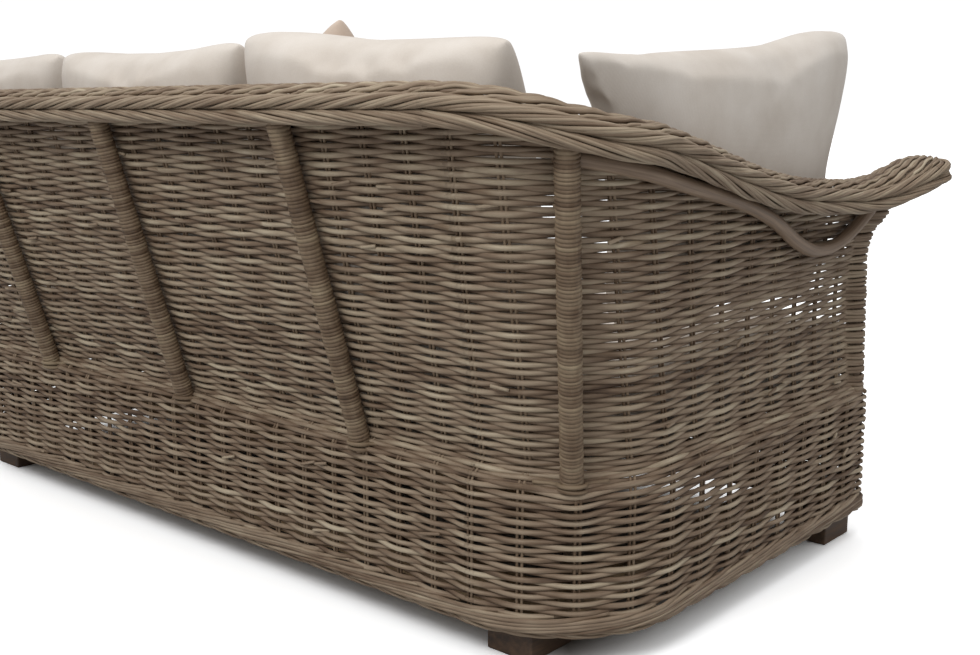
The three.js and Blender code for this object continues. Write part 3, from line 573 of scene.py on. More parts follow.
def row_points(q, z, parity, seed):
    level = z + drift(q, z) + wobble(q, seed, 0.0012)
    points = wall(q, level)
    out = outward(points)
    over = np.cos(math.pi * q + math.pi * parity)
    over = np.sign(over) * np.abs(over) ** 1.15
    over = over * (1 - snugness(q, z))
    push = WAVE * over * (1 + wobble(q, seed + 300, 0.16))
    # On the ledge the wall faces up as well as out, and the rows pass each other square to it.
    t = np.clip((level - LEDGE_LOW) / LEDGE_RISE, 0, 1)
    tilt = np.where(q < AROUND, np.arctan(0.024 * 6 * t * (1 - t) / LEDGE_RISE), 0)
    points = points + out * (push * np.cos(tilt) - MIDDLE)[:, None]
    points[:, 2] += push * np.sin(tilt) - SAG * over
    return points, over


SKIRT = {"left": "skirt_side_left", "right": "skirt_side_right"}
SKIRT.update(rear="skirt_rear", front="skirt_front")
UPPER = {"left": "arm_left", "right": "arm_right", "rear": "back"}
STRETCHES = {
    "left": (0, REAR_START),
    "rear": (REAR_START, REAR_END),
    "right": (REAR_END, AROUND),
    "front": (AROUND, LOOP),
}
OVERLAP = 0.16  # how far, in stakes, a panel's rows run past its ends
UNDER_RIM = 0.012  # how far below the border's centre the rows end


def weave_rows():
    """Rows of cane over one stake and under the next, sorted by the panel that they belong to."""
    panels = {}

    def give(panel, q, points, over, seed, z):
        if len(q) < 5:
            return
        # Each pass is painted lighter where it lies outside a stake and darker where it passes under, as
        # painted shade in the weave's hollows; the skirt's rows are painted darker still, as painted shade
        # low on the wall.
        skirt = panel.startswith("skirt")
        tone = strand_tone(q, seed) + 0.20 * over - (0.15 if skirt else 0.04)
        own = 1 + 0.09 * math.sin(seed * 2.399)
        radius = CANE_R * (own + 0.07 * np.sin(q * 0.37 + seed * 1.7) + 0.04 * over)
        radius = np.maximum(radius, 0.0036 if skirt else 0.00395)
        radius = radius * (1 + 0.10 * snugness(q, z))
        panels.setdefault(panel, Strands()).add(points, radius, tone)

    for row, z in enumerate(row_levels()):
        skirt = z < SEAT
        last = LOOP if skirt else AROUND
        past = 0.25 if skirt else 0
        q = np.linspace(-past, last + past, int(last * PER_CELL) + 1)
        points, over = row_points(q, z, row % 2, row)
        keep = np.ones(len(q), bool) if skirt else z < rim_over(np.clip(q, 0, AROUND)) - UNDER_RIM
        for name, (low, high) in STRETCHES.items():
            if high > last:
                continue
            inside = keep & (q >= low - OVERLAP) & (q <= high + OVERLAP)
            index = np.flatnonzero(inside)
            for run in np.split(index, np.flatnonzero(np.diff(index) > 1) + 1):
                panel = (SKIRT if skirt else UPPER)[name]
                give(panel, q[run], points[run], over[run], row, z)
        if not skirt and z < float(rim_over(np.array(0.0))) + UNDER_RIM:
            for side, where in SIDES:
                wind_edge(panels.setdefault("arm_" + where, Strands()), z, side, row)
    loose_ends(panels)
    return panels


EDGE_Y = SKIN_FRONT + 0.0127
EDGE_R = 0.0150


def edge_x(z):
    """How far out the upright at the front of an arm stands: it flares under the border."""
    flare = 0.036 * np.clip((z - 0.53) / 0.09, 0, 1) ** 2.4 + 0.6 * np.clip(z - 0.62, 0, 1)
    return 0.8917 - 0.028 * (z - 0.531) + flare


def wind_edge(strands, z, side, seed):
    """A row's cane turns round the upright at the front of an arm and goes back inside."""
    r = np.random.default_rng(seed + 900)
    face = upper_wall(np.array([0.55]), np.array([z]))[0]
    x, y = float(edge_x(z)), EDGE_Y
    reach = EDGE_R + r.normal(0, 0.0004)
    turn = np.radians(np.linspace(0, 205, 16))
    ring = np.stack([x + reach * np.cos(turn), y - reach * np.sin(turn)], -1)
    t = np.linspace(0, 1, 9)[:-1]
    outer = np.stack([mix(-face[0] - MIDDLE, x + reach, ease(t * 1.15)), mix(face[1], y, t)], -1)
    inner = np.stack([ring[-1, 0] + 0.006 * t[1:], ring[-1, 1] + 0.035 * t[1:]], -1)
    flat = np.concatenate([outer, ring, inner])
    pair = 0.0009 if seed % 2 else -0.0009
    level = z + pair + r.normal(0, 0.0006) + 0.0016 * np.sin(np.linspace(0, 5, len(flat)) + seed)
    points = np.stack([side * flat[:, 0], flat[:, 1], level], -1)
    slope = float(edge_x(z + 0.004) - edge_x(z - 0.004)) / 0.008
    thick = 0.0036 * (1 + 0.4 * min(max(slope, 0), 1))
    strands.add(points, thick * r.uniform(0.92, 1.08), np.clip(r.normal(0.5, 0.11), 0.15, 0.9))


def loose_ends(panels):
    """Where a cane runs out, its cut end stands a little off the wall beside a stake."""
    r = np.random.default_rng(77)
    for _ in range(90):
        q = r.uniform(0.6, AROUND - 0.6)
        z = r.uniform(0.09, 0.76)
        if z > float(rim_over(np.array(q))) - 0.06 or abs(z - SEAT) < 0.03:
            continue
        run = np.linspace(q, q + r.choice([-1, 1]) * r.uniform(0.25, 0.5), 6)
        points = wall(run, np.full(6, z) + np.linspace(0, r.uniform(-0.006, 0.008), 6))
        out = outward(points)
        lift = np.linspace(-0.006, r.uniform(-0.002, 0.003), 6)
        points = points + out * lift[:, None]
        side = "rear" if REAR_START < q < REAR_END else "left" if q < REAR_START else "right"
        panels[(SKIRT if z < SEAT else UPPER)[side]].add(points, 0.0026, r.uniform(0.4, 0.8))


def stakes():
    """Pairs of upright rods that the rows pass round."""
    rods = Strands()
    for k in range(LOOP):
        for half in (-0.045, 0.045):
            q = float(np.clip(k + half, 0.02, AROUND - 0.02)) if k <= AROUND else k + half
            top = SEAT - 0.004 if k > AROUND else float(rim_over(np.array(float(k)))) - 0.01
            z = np.arange(SKIRT_LOW - 0.01, top, 0.010)
            points = wall(np.full(len(z), q), z)
            along = unit(points - wall(np.full(len(z), q - 0.02), z))
            out = np.stack([-along[:, 1], along[:, 0], 0 * z], -1)
            points = points - out * MIDDLE
            rods.add(points, 0.0025, np.full(len(z), rng.uniform(0.25, 0.6)), hint=out, sides=5)
    return rods


for panel, strands in weave_rows().items():
    strands.build("weave_" + panel, M["weave"], "weave", ["woven_" + panel])
stakes().build("weave_stakes", M["stake"], "weave")


# The border.
def rim_path():
    """The border's centre line, outward direction, half width and half height, tip to tip."""
    share = np.linspace(1, 0, 150)[:-1]
    arm = np.stack([-rim_x(share), ARM_START - ARM_RUN * share, rim_z(share)], -1)
    wide = BORDER_WIDE / 2 * smooth(share, ARM_AT, WIDTHS)
    high = BORDER_HIGH / 2 * smooth(share, ARM_AT, HEIGHTS)
    t = np.linspace(0, 1, 50)[:-1]
    turn = t * math.pi / 2
    reach = TOP_R - BORDER_IN
    x, y = TOP_C[0] + reach * np.cos(turn), TOP_C[1] + reach * np.sin(turn)
    corner = np.stack([-x, y, corner_z(t)], -1)
    x = np.linspace(-TOP_C[0], 0, 130)
    back = np.stack([x, np.full_like(x, TOP_REAR - BORDER_IN), np.full_like(x, RIM)], -1)
    half = np.concatenate([arm, corner, back])

    def whole(values, flip=1):
        """The left half's values, then the right's in reverse order."""
        return np.concatenate([values, values[:-1][::-1] * flip])

    rest = np.ones(len(half) - len(arm))
    wide = whole(np.concatenate([wide, rest * BORDER_WIDE / 2]))
    high = whole(np.concatenate([high, rest * BORDER_HIGH / 2]))
    points = whole(half, np.array([-1, 1, 1]))
    run = run_along(points)
    s = np.arange(0, run[-1], 0.007)
    points = follow(s, run, points)
    for _ in range(3):
        points[1:-1] = (points[:-2] + 2 * points[1:-1] + points[2:]) / 4
    return s, points, np.interp(s, run, wide), np.interp(s, run, high)


RIM_S, RIM_P, RIM_W, RIM_H = rim_path()
RIM_LEN = RIM_S[-1]
TIP = 0.040  # length of the blunt end
BLUNT = 0.46  # how square it is
BEYOND = 0.016  # how far the ropes reach past the path's end


def rim_at(s):
    """The border at some distances along it: place, three directions, half width, half height."""
    s = np.clip(s, 0, RIM_LEN)
    along = unit(follow(s, RIM_S, unit(np.gradient(RIM_P, axis=0))))
    out = square_to(along)
    up = np.cross(out, along) * -1
    up = np.where(up[:, 2:3] < 0, -up, up)
    wide, high = np.interp(s, RIM_S, RIM_W), np.interp(s, RIM_S, RIM_H)
    return follow(s, RIM_S, RIM_P), along, out, up, wide, high


def edge_loop(edge):
    """A closed path round the border's edge: along the outside, round each tip and back inside."""
    s = np.arange(TIP, RIM_LEN - TIP, 0.008)
    p, _, out, up, wide, high = rim_at(s)
    reach = (wide - edge)[:, None]
    turn = np.linspace(0, math.pi, 17)[1:-1]

    def tip(at, way):
        p1, along1, out1, up1, wide1, high1 = (a[0] for a in rim_at(np.array([at])))
        ahead, across = np.sin(turn) ** BLUNT, np.sign(np.cos(turn)) * np.abs(np.cos(turn)) ** BLUNT
        ring = p1 + way * (TIP + BEYOND - edge) * ahead[:, None] * along1
        ring = ring + (wide1 - edge) * across[:, None] * out1
        return ring, np.repeat(up1[None], len(turn), 0), np.full(len(turn), high1)

    outside, inside = (p + out * reach, up, high), (p - out * reach, up, high)
    right, left = tip(RIM_LEN - TIP, 1), tip(TIP, -1)
    return [np.concatenate([a, b, c[::-1], d[::-1]]) for a, b, c, d in zip(outside, right, inside, left)]


def piece_of(x, y):
    """The part of the border that a point belongs to: 0 and 2 the arms, 1 the back."""
    at_back = np.where(x < -TOP_C[0], 0, np.where(x > TOP_C[0], 2, 1))
    return np.where(y < TOP_C[1] + 0.001, np.where(x < 0, 0, 2), at_back)


BORDER = [Strands(), Strands(), Strands()]


def give_border(points, radius, tone, hint):
    """Adds a strand to the border's three parts, cut where they meet."""
    part = piece_of(points[:, 0], points[:, 1])
    cuts = [0, *(np.flatnonzero(np.diff(part)) + 1).tolist(), len(points)]
    for a, b in zip(cuts[:-1], cuts[1:]):
        c, d = max(a - 1, 0), min(b + 1, len(points))
        if d - c > 2:
            BORDER[part[a]].add(points[c:d], radius, tone[c:d], hint[c:d], 5)


BUNDLES, EACH = 4, 3  # bundles in a rope and canes in each


def rope(edge, centre, wide, tall, pitch, hand, seed):
    """Bundles of cane twisted round each other along the border's edge."""
    points, ups, highs = edge_loop(edge)
    r = np.random.default_rng(seed)
    along = unit(np.roll(points, -1, 0) - np.roll(points, 1, 0))
    side = unit(np.cross(along, ups))
    run = run_along(points)
    total = run[-1] + np.linalg.norm(points[0] - points[-1])
    turns = round(total / pitch)
    scale = highs / (BORDER_HIGH / 2)
    for b in range(BUNDLES):
        for k in range(EACH):
            phase = 2 * math.pi * (b + 0.74 * (k - (EACH - 1) / 2) / EACH) / BUNDLES
            theta = hand * 2 * math.pi * turns * run / total + phase
            bulge = 1 - 0.10 * abs(k - (EACH - 1) / 2) + r.normal(0, 0.03)
            shake = 1 + 0.05 * np.sin(9 * run + r.uniform(0, 6))
            at = points + side * (wide * bulge * shake * np.cos(theta))[:, None]
            at = at + ups * (scale * (centre + tall * bulge * shake * np.sin(theta)))[:, None]
            tone = np.clip(r.normal(0.56, 0.11), 0.25, 0.9) + 0.04 * np.sin(3 * run + r.uniform(0, 6))
            size = 0.0029 * r.uniform(0.88, 1.1)
            at = np.concatenate([at, at[:1]])
            give_border(at, size, np.append(tone, tone[0]), np.concatenate([ups, ups[:1]]))


WINDERS, WIND_PITCH = 12, 0.66  # long strands wound over the top, and how far a turn takes them


def border():
    rope(edge=0.0135, centre=-0.0150, wide=0.0105, tall=0.0088, pitch=0.40, hand=-1, seed=1)
    rope(edge=0.0125, centre=0.0060, wide=0.0098, tall=0.0085, pitch=0.30, hand=1, seed=2)
    # Long strands wound over the top from edge to edge, and back beneath.
    s = np.arange(0.004, RIM_LEN - 0.004, 0.005)
    p, _, out, up, wide, high = rim_at(s)
    near = np.minimum(s, RIM_LEN - s)
    short = np.clip(TIP - near, 0, TIP) / TIP
    round_end = np.clip(1 - short ** (2 / BLUNT), 0.0, 1) ** (BLUNT / 2)
    reach = (wide - 0.011) * round_end
    r = np.random.default_rng(3)
    length = RIM_LEN / round(RIM_LEN / WIND_PITCH)
    for k in range(WINDERS):
        for pair in (-0.5, 0.5):
            theta = 2 * math.pi * (s + pair * 0.013) / length + 2 * math.pi * k / WINDERS
            across = 2 / math.pi * np.arcsin(0.97 * np.sin(theta))
            top = np.tanh(2.6 * np.cos(theta))
            dome = 0.0050 * (1 - across**2)
            at = p + out * (reach * across)[:, None]
            ripple = 0.0016 * np.cos(WINDERS * (theta - math.pi / 2)) * np.abs(top)
            height = 0.0165 * high / (BORDER_HIGH / 2) + dome * (top > 0) + 0.0062 * top + ripple
            at = at + up * (height * (1 - 0.3 * short**2))[:, None]
            tone = np.clip(r.normal(0.58, 0.1), 0.3, 0.9) + 0.05 * np.sin(4 * s + r.uniform(0, 6))
            give_border(at, 0.0031 * r.uniform(0.94, 1.08), tone, up)
    # Straight canes that fill the border's middle, in two layers.
    for level, count in ((0.007, 11), (-0.012, 9)):
        for k in range(count):
            share = (k + 0.5) / count * 2 - 1
            sway = 0.003 * np.sin(12 * s + r.uniform(0, 6))
            at = p + out * ((reach - 0.005 * round_end) * share + sway)[:, None]
            at = at + up * (level + 0.002 * np.sin(9 * s + r.uniform(0, 6)))[:, None]
            give_border(at[::3], 0.0042, np.full(len(at[::3]), r.uniform(0.05, 0.3)), up[::3])


border()
for strands, name in zip(BORDER, ("border_arm_left", "border_back", "border_arm_right")):
    strands.build("plaited_" + name, M["braid"], "braid", [name])


# The braid along the lower edge.
ENDS, END_RUN = 66, 0.46  # turned stake ends, and how far each runs along the edge
TWIST = 0.17  # from one turn of the twist below them to the next


def bottom_braid():
    """The stakes' ends, turned to run along the edge over each other, above a two-cane twist."""
    braid = Strands()
    r = np.random.default_rng(12)
    points, length = OUTLINE[:2]
    total = length[-1]

    def edge(s, z, inset):
        s = np.mod(s, total)
        xy = follow(s, length, points)
        way = unit(follow(np.mod(s + 0.004, total), length, points) - xy)
        out = np.stack([-way[:, 1], way[:, 0]], -1)
        return np.concatenate([xy - out * inset[:, None], z[:, None]], -1)

    for k in range(ENDS):
        t = np.linspace(0, 1, 44)
        run = END_RUN * r.uniform(0.94, 1.06)
        s = total * k / ENDS + run * t + r.normal(0, 0.004)
        z = 0.0830 - 0.0290 * t - 0.004 * ease((t - 0.8) / 0.2)
        inset = 0.0055 - 0.0070 * ease(t / 0.16) + 0.013 * ease((t - 0.72) / 0.28)
        z = z + 0.0008 * np.sin(15 * t + r.uniform(0, 6))
        tone = np.clip(r.normal(0.5, 0.12), 0.2, 0.9) + 0.05 * np.sin(7 * t + k)
        braid.add(edge(s, z, inset), 0.0036 * r.uniform(0.9, 1.12), tone)
    s = np.arange(0, total, 0.009)
    turns = round(total / TWIST)
    for k in range(4):
        theta = -2 * math.pi * turns * s / total + 2 * math.pi * (k // 2 + 0.3 * (k % 2)) / 2
        z = 0.0530 + 0.0040 * np.sin(theta)
        inset = 0.0090 + 0.0046 * np.cos(theta)
        tone = np.clip(r.normal(0.5, 0.1), 0.2, 0.9) + 0.05 * np.sin(3 * s + k)
        braid.add(edge(s, z, inset), 0.0028, tone, closed=True)
    return braid


bottom_braid().build("edge_braid", M["braid"], "braid", ["bottom_braid"])


# Posts and their bindings.
def peeled_pole(name, path, radius, tone, node, hint=(0, 1, 0), sides=24):
    pole = Strands()
    pole.add(path, radius, tone, hint, sides)
    pole.build(name, M["pole"], "pole", [node])


FOOT = 0.283  # where the posts go down behind the skirt's rows


POST_R, POST_BOTTOM = 0.014, 0.104


def bound_post(name, low, high, outside, nodes):
    """A pole with cane wound closely round it above the skirt, held by loops at its foot."""
    low, high, outside = np.array(low), np.array(high), np.array(outside)
    length = np.linalg.norm(high - low)
    way = (high - low) / length

    def centre(s):
        at = low + way * s[:, None]
        return at - outside * (0.032 * ease((FOOT - at[:, 2]) / 0.05))[:, None]

    peeled_pole("pole_" + name, centre(np.linspace(0, length, 60)), POST_R, 0.5, nodes[0])
    start = (FOOT - 0.004 - low[2]) / way[2]
    pitch, fine = 0.0058, 8
    turns = int((length - start) / pitch)
    t = np.arange(turns * fine + 1) / fine
    r = np.random.default_rng(seed_of(name))
    wide = np.cumsum(np.concatenate([[0], r.uniform(0.8, 1.2, turns + 2)]))
    at = start + pitch * np.interp(t, np.arange(len(wide)), wide)
    keep = at < length
    t, at = t[keep], at[keep]
    lift = np.abs(np.sin(math.pi * t)) ** 0.5
    each = r.uniform(0.7, 1.25, turns + 2)[t.astype(int)]
    tones = np.clip(r.normal(0.5, 0.12, turns + 2), 0.12, 0.9)[t.astype(int)]
    thick = POST_R + 0.0008 + 0.0022 * lift * each
    winding = Strands()
    winding.add(low + way * at[:, None], thick, tones, hint=(0, 1, 0), sides=26)
    along = unit(np.cross((0, 0, 1), outside))
    for k, level in enumerate((FOOT + 0.001, FOOT - 0.0065)):
        middle = low + way * ((level - low[2]) / way[2])
        turn = np.radians(np.linspace(-88, 88, 17))
        reach = POST_R + 0.0058
        arc_in = middle + reach * (np.sin(turn)[:, None] * along + np.cos(turn)[:, None] * outside)
        ends = np.linspace(1, 0, 6)[:-1, None]
        span = reach + 0.004 + 0.03 * ends
        first = middle - along * span - outside * (0.004 + 0.014 * ends)
        last = middle + along * span[::-1] - outside * (0.004 + 0.014 * ends[::-1])
        loop = np.concatenate([first, arc_in, last])
        loop[:, 2] += 0.002 * np.sin(np.linspace(0, 3, len(loop)) + k)
        winding.add(loop, 0.0034, r.uniform(0.5, 0.75))
    winding.build("wound_" + name, M["binding"], "binding", [nodes[1]])


def seed_of(text):
    return sum((i + 1) * ord(c) for i, c in enumerate(text))


POST_LOW = IN_REAR + 0.018 * math.hypot(1, BACK_SLOPE)
POST_APART = 0.468
for i, where in enumerate(("left", "centre", "right")):
    x, high_z = POST_APART * (i - 1), RIM - 0.012
    low = (x, POST_LOW + BACK_SLOPE * (POST_BOTTOM - SEAT), POST_BOTTOM)
    high = (x, POST_LOW + BACK_SLOPE * (high_z - SEAT), high_z)
    bound_post(where, low, high, (0, 1, 0), [f"back_post_{where}", f"back_post_binding_{where}"])


def on_corner(centre_x, centre_y, reach, degrees, z):
    turn = math.radians(degrees)
    return Vector((centre_x + reach * math.cos(turn), centre_y + reach * math.sin(turn), z))


HEAD_TURN = 42  # where a corner post's head stands, in degrees from the side
for side, where in SIDES:
    nodes = [f"corner_post_{where}", f"corner_post_binding_{where}"]
    head_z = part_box(f"corner_post_binding_{where}")[1].z
    turn = math.radians(POST_TURN)
    outside = (side * math.cos(turn), math.sin(turn), 0)
    foot = on_corner(HALF - BASE_R, BASE_REAR - BASE_R, BASE_R + 0.009, POST_TURN, SEAT + 0.012)
    share = (head_z - SEAT) / LEAN
    reach = mix(LOW_R, TOP_R, share) + 0.023
    head = on_corner(*corner_centre(share), reach, HEAD_TURN, head_z)
    way = (head - foot).normalized()
    low = foot - way * ((foot.z - POST_BOTTOM) / way.z)
    high = head + way * 0.016
    mirror = Matrix.Diagonal((side, 1, 1))
    bound_post("corner_" + where, tuple(mirror @ low), tuple(mirror @ high), outside, nodes)

# The uprights inside the wound front edges of the arms.
for side, where in SIDES:
    node_low, node_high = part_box(f"front_post_{where}")
    z = np.linspace(node_low.z, node_high.z, 60)
    inset = 0.010 * ease((SEAT - z) / 0.06)
    path = np.stack([side * (edge_x(z) - inset), np.full_like(z, EDGE_Y) + inset, z], -1)
    peeled_pole(f"pole_front_{where}", path, 0.0105, 0.4, f"front_post_{where}")

# The smooth bow under each arm: shares of the arm's length, and how far down the wall it lies there.
BOW_AT = [-0.12, 0, 0.11, 0.22, 0.34, 0.465, 0.57, 0.66, 0.72, 0.78, 0.846, 0.89, 0.92]
BOW_DOWN = [0.12, 0.158, 0.195, 0.23, 0.271, 0.333, 0.403, 0.443, 0.449, 0.439, 0.4, 0.35, 0.29]


def bow(side, where):
    t = np.linspace(BOW_AT[0], BOW_AT[-1], 90)
    y = ARM_START - ARM_RUN * t + 0.010
    z = mix(RIM, SEAT, smooth(t, BOW_AT, BOW_DOWN))
    q = np.linspace(0, REAR_START, 400)
    x = []
    for yy, zz in zip(y, z):
        face = upper_wall(q, np.full_like(q, zz))
        x.append(np.interp(yy, face[:, 1], -face[:, 0]) + 0.0128)
    path = np.stack([side * np.array(x), y, z], -1)
    for _ in range(4):
        path[1:-1] = (path[:-2] + 2 * path[1:-1] + path[2:]) / 4
    radius = 0.0112 * (1 + 0.02 * np.sin(14 * t))
    peeled_pole("bow_arm_" + where, path, radius, 0.5, "arm_bow_" + where, (0, 0, 1), 20)


for side, where in SIDES:
    bow(side, where)


# Feet.
def block_from(node, name, material, bevel):
    x, y, z = zip(*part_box(node))
    verts = [(x[i], y[j], z[k]) for i in (0, 1) for j in (0, 1) for k in (0, 1)]
    faces = [(0, 1, 3, 2), (4, 6, 7, 5), (0, 4, 5, 1), (2, 3, 7, 6), (0, 2, 6, 4), (1, 5, 7, 3)]
    obj = new_mesh_object(name, verts, faces)
    shaped = obj.modifiers.new("edges", "BEVEL")
    shaped.width, shaped.segments = bevel, 3
    apply_modifiers(obj)
    finish_piece(obj, material, [node])


for end in ("rear", "front"):
    for where in ("left", "right"):
        block_from(f"foot_{end}_{where}", f"block_foot_{end}_{where}", M["foot"], 0.003)


# Cushions.
SQUEEZE = {"start": 0.25, "thin": 0.65, "tuck": 0.200, "push": 0.006}
BACK_PILLOW = {"wide": 0.541, "tall": 0.515, "thick": 0.190, "draw": 0.045}
ARM_PILLOW = {"wide": 0.785, "tall": 0.465, "thick": 0.160, "draw": 0.040, "cells": 76, "end": SQUEEZE}
SCATTER_PILLOW = {"wide": 0.450, "tall": 0.450, "thick": 0.110, "draw": 0.06, "cells": 50}
SEAM = 0.004  # half the thickness at the seam


def pillow_form(seed, wide, tall, thick, draw, cells=60, end=None, power=0.44):
    """A filled pillow's two sheets, joined at the seam: wide X, thick Y, tall Z."""
    r = np.random.default_rng(seed)
    nu, nv = cells, round(cells * tall / wide)
    us, vs = (np.linspace(-1, 1, n + 1) for n in (nu, nv))
    us, vs = (0.35 * np.sin(math.pi / 2 * a) + 0.65 * a for a in (us, vs))
    waves = [(r.normal(0, 0.5), r.uniform(1.0, 3.2, 2), r.uniform(0, 6.3, 2)) for _ in range(5)]
    verts, index = [], np.full((2, nu + 1, nv + 1), -1)
    for face, sign in ((0, 1), (1, -1)):
        for i, u in enumerate(us):
            for j, v in enumerate(vs):
                edge = i in (0, nu) or j in (0, nv)
                if face == 1 and edge:
                    index[1, i, j] = index[0, i, j]
                    continue
                index[face, i, j] = len(verts)
                crown = (1 - u * u) * (1 - v * v)
                dent = sum(a * math.sin(f[0] * u + s[0]) * math.sin(f[1] * v + s[1]) for a, f, s in waves)
                deep = 0 if edge else SEAM + (thick / 2 - SEAM) * crown**power * (1 + 0.07 * sign * dent)
                x = wide / 2 * u * (1 - draw * (1 - v * v)) * (1 - 0.03 * abs(u * v) ** 9)
                z = tall / 2 * v * (1 - draw * (1 - u * u)) * (1 - 0.03 * abs(u * v) ** 9)
                y = sign * deep
                if end:
                    near = float(ease((u - end["start"]) / (1 - end["start"])))
                    x -= end["tuck"] * near * (1 - v) / 2
                    y = y * (1 - end["thin"] * near) + end["push"] * near
                verts.append((x, y, z))
    quads = []
    for i in range(nu):
        for j in range(nv):
            for face, grid in enumerate(index):
                a, b, c, d = grid[i, j], grid[i + 1, j], grid[i + 1, j + 1], grid[i, j + 1]
                quads.append((a, b, c, d) if face else (a, d, c, b))
    return np.array(verts), quads


def read(obj, what="co"):
    values = np.empty(len(obj.data.vertices) * 3)
    obj.data.vertices.foreach_get(what, values)
    return values.reshape(-1, 3)


def settle(form, quads, pressure, slack, bend, frames=22, inward=0.020, outward_most=0.006):
    """Lets loose cloth over a form pull in and wrinkle, and caps how far it may go."""
    obj = new_mesh_object("settling", form, quads)
    normals = read(obj, "normal")
    modifier = obj.modifiers.new("cloth", "CLOTH")
    s = modifier.settings
    s.quality, s.mass, s.air_damping = 6, 0.2, 2
    s.tension_stiffness = s.compression_stiffness = 15
    s.tension_damping = s.compression_damping = 5
    s.shear_stiffness, s.bending_stiffness = 6, bend
    s.use_pressure, s.uniform_pressure_force = True, pressure
    s.shrink_min = s.shrink_max = -slack
    s.effector_weights.gravity = 0
    modifier.collision_settings.use_collision = False
    for f in range(1, frames + 1):
        bpy.context.scene.frame_set(f)
    apply_modifiers(obj)
    bpy.context.scene.frame_set(1)
    moved = read(obj) - form
    bpy.data.objects.remove(obj)
    out = np.einsum("ij,ij->i", moved, normals)
    moved = moved + (np.minimum(out, outward_most) - out)[:, None] * normals
    length = np.linalg.norm(moved, axis=1, keepdims=True)
    moved = moved * (inward * np.tanh(length / inward) / np.maximum(length, 1e-9))
    return form + moved


def place_cushion(node, co, quads, matrix, slot, mirrored=False):
    """Makes a cushion's piece: back_pillow_left becomes pillow_back_left, and so on."""
    if mirrored:
        matrix = Matrix.Diagonal((-1, 1, 1, 1)) @ matrix
        quads = [tuple(reversed(q)) for q in quads]
    kind, form, *where = node.split("_")
    obj = new_mesh_object("_".join([form, kind, *where]), co, quads)
    obj.data.transform(matrix)
    finer = obj.modifiers.new("finer", "SUBSURF")
    finer.levels = finer.render_levels = 1
    apply_modifiers(obj)
    obj.data.polygons.foreach_set("use_smooth", np.ones(len(obj.data.polygons), bool))
    finish_piece(obj, M[slot], [node])


def stand(form, turn, node):
    """The matrix that turns a form and puts its box's middle at a node's."""
    low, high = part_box(node)
    at = form @ np.array(turn.to_3x3()).T
    middle = Vector(((at.min(0) + at.max(0)) / 2).tolist())
    return Matrix.Translation((low + high) / 2 - middle) @ turn


def seat_form(node):
    """The seat cushion's solid, with an even grid of faces and a boxed edge."""
    obj = bpy.data.objects.new("seat_form", frame["nodes"][node].data.copy())
    bpy.context.scene.collection.objects.link(obj)
    even = obj.modifiers.new("even", "REMESH")
    even.mode, even.voxel_size = "VOXEL", 0.009
    apply_modifiers(obj)
    form = read(obj)
    quads = [tuple(p.vertices) for p in obj.data.polygons]
    bpy.data.objects.remove(obj)
    return form, quads


def turn_by(degrees, axis):
    return Matrix.Rotation(math.radians(degrees), 4, axis)


def back_pillows():
    turn = Matrix.Rotation(-math.atan(BACK_SLOPE), 4, "X")
    for i, where in enumerate(("left", "centre", "right")):
        node = f"back_pillow_{where}"
        form, quads = pillow_form(30 + i, **BACK_PILLOW)
        x, _, z = form.T
        u, v = x / (BACK_PILLOW["wide"] / 2), np.clip(z / (BACK_PILLOW["tall"] / 2), 0, 1)
        # How much fuller the upper edge is all along, in its middle and at its far end.
        full, crown, far = (0.010, 0.022, 0.026) if where == "left" else (0.018, 0.018, 0.0)
        z += (full + crown * (1 - u * u) + far * ease((u + 1) / 2)) * v**1.5
        co = settle(form, quads, 2.0 + 0.3 * i, 0.03, 0.35)
        place_cushion(node, co, quads, stand(form, turn, node), "cushion")


def arm_pillows():
    form, quads = pillow_form(41, **ARM_PILLOW)
    turn = turn_by(90, "Z") @ turn_by(-13, "X") @ turn_by(4.5, "Y")
    matrix = stand(form, turn, "arm_pillow_left")
    x, _, z = form.T
    u = x / (ARM_PILLOW["wide"] / 2)
    z += np.where(z > 0, 0.012 * bell(u, -0.62, 0.25) * z / 0.23, 0)
    v = z / (ARM_PILLOW["tall"] / 2)
    high = np.clip(v, 0, 1)
    # The lower front corner sags and comes forward, and the upper edge is fuller.
    z -= 0.034 * ease(-u * 0.9 - 0.1) * np.clip((1 - v) / 2, 0, 1) ** 1.5
    x -= 0.060 * ease(-u) * ease((0.25 - v) / 0.8)
    z += (0.018 + 0.012 * (1 - u * u)) * high**1.5
    x += 0.012 * ease(u) * high + 0.014 * ease(-u)
    z += 0.012 * ease(-2 * u - 1) * high**3
    co = settle(form, quads, 2.0, 0.03, 0.35)
    for where in ("left", "right"):
        place_cushion("arm_pillow_" + where, co, quads, matrix, "cushion", where == "right")


def scatter_pillow():
    form, quads = pillow_form(50, **SCATTER_PILLOW)
    co = settle(form, quads, 1.6, 0.03, 0.3)
    matrix = stand(form, turn_by(-20, "X") @ turn_by(18, "Y"), "scatter_pillow")
    place_cushion("scatter_pillow", co, quads, matrix, "scatter")


def seat_cushions():
    still = Matrix.Identity(4)
    for where in ("left", "centre"):
        node = "seat_cushion_" + where
        form, quads = seat_form(node)
        co = settle(form, quads, 3.0, 0.02, 0.5, frames=16, inward=0.010, outward_most=0.003)
        place_cushion(node, co, quads, still, "cushion")
        if where == "left":
            place_cushion("seat_cushion_right", co, quads, still, "cushion", True)


back_pillows()
arm_pillows()
scatter_pillow()
seat_cushions()

# CAD pieces that stay, with finer materials.
for part in frame["record"]["subparts"]:
    obj, slot_name = frame["nodes"][part["node"]], part["material_slot"]
    if slot_name in ("pole", "timber", "hoop", "bolt_steel") and not obj.hide_render:
        if slot_name == "pole":
            obj.data.uv_layers.new(name="strand").active = True
        obj.data.materials.clear()
        obj.data.materials.append(M[slot_name])
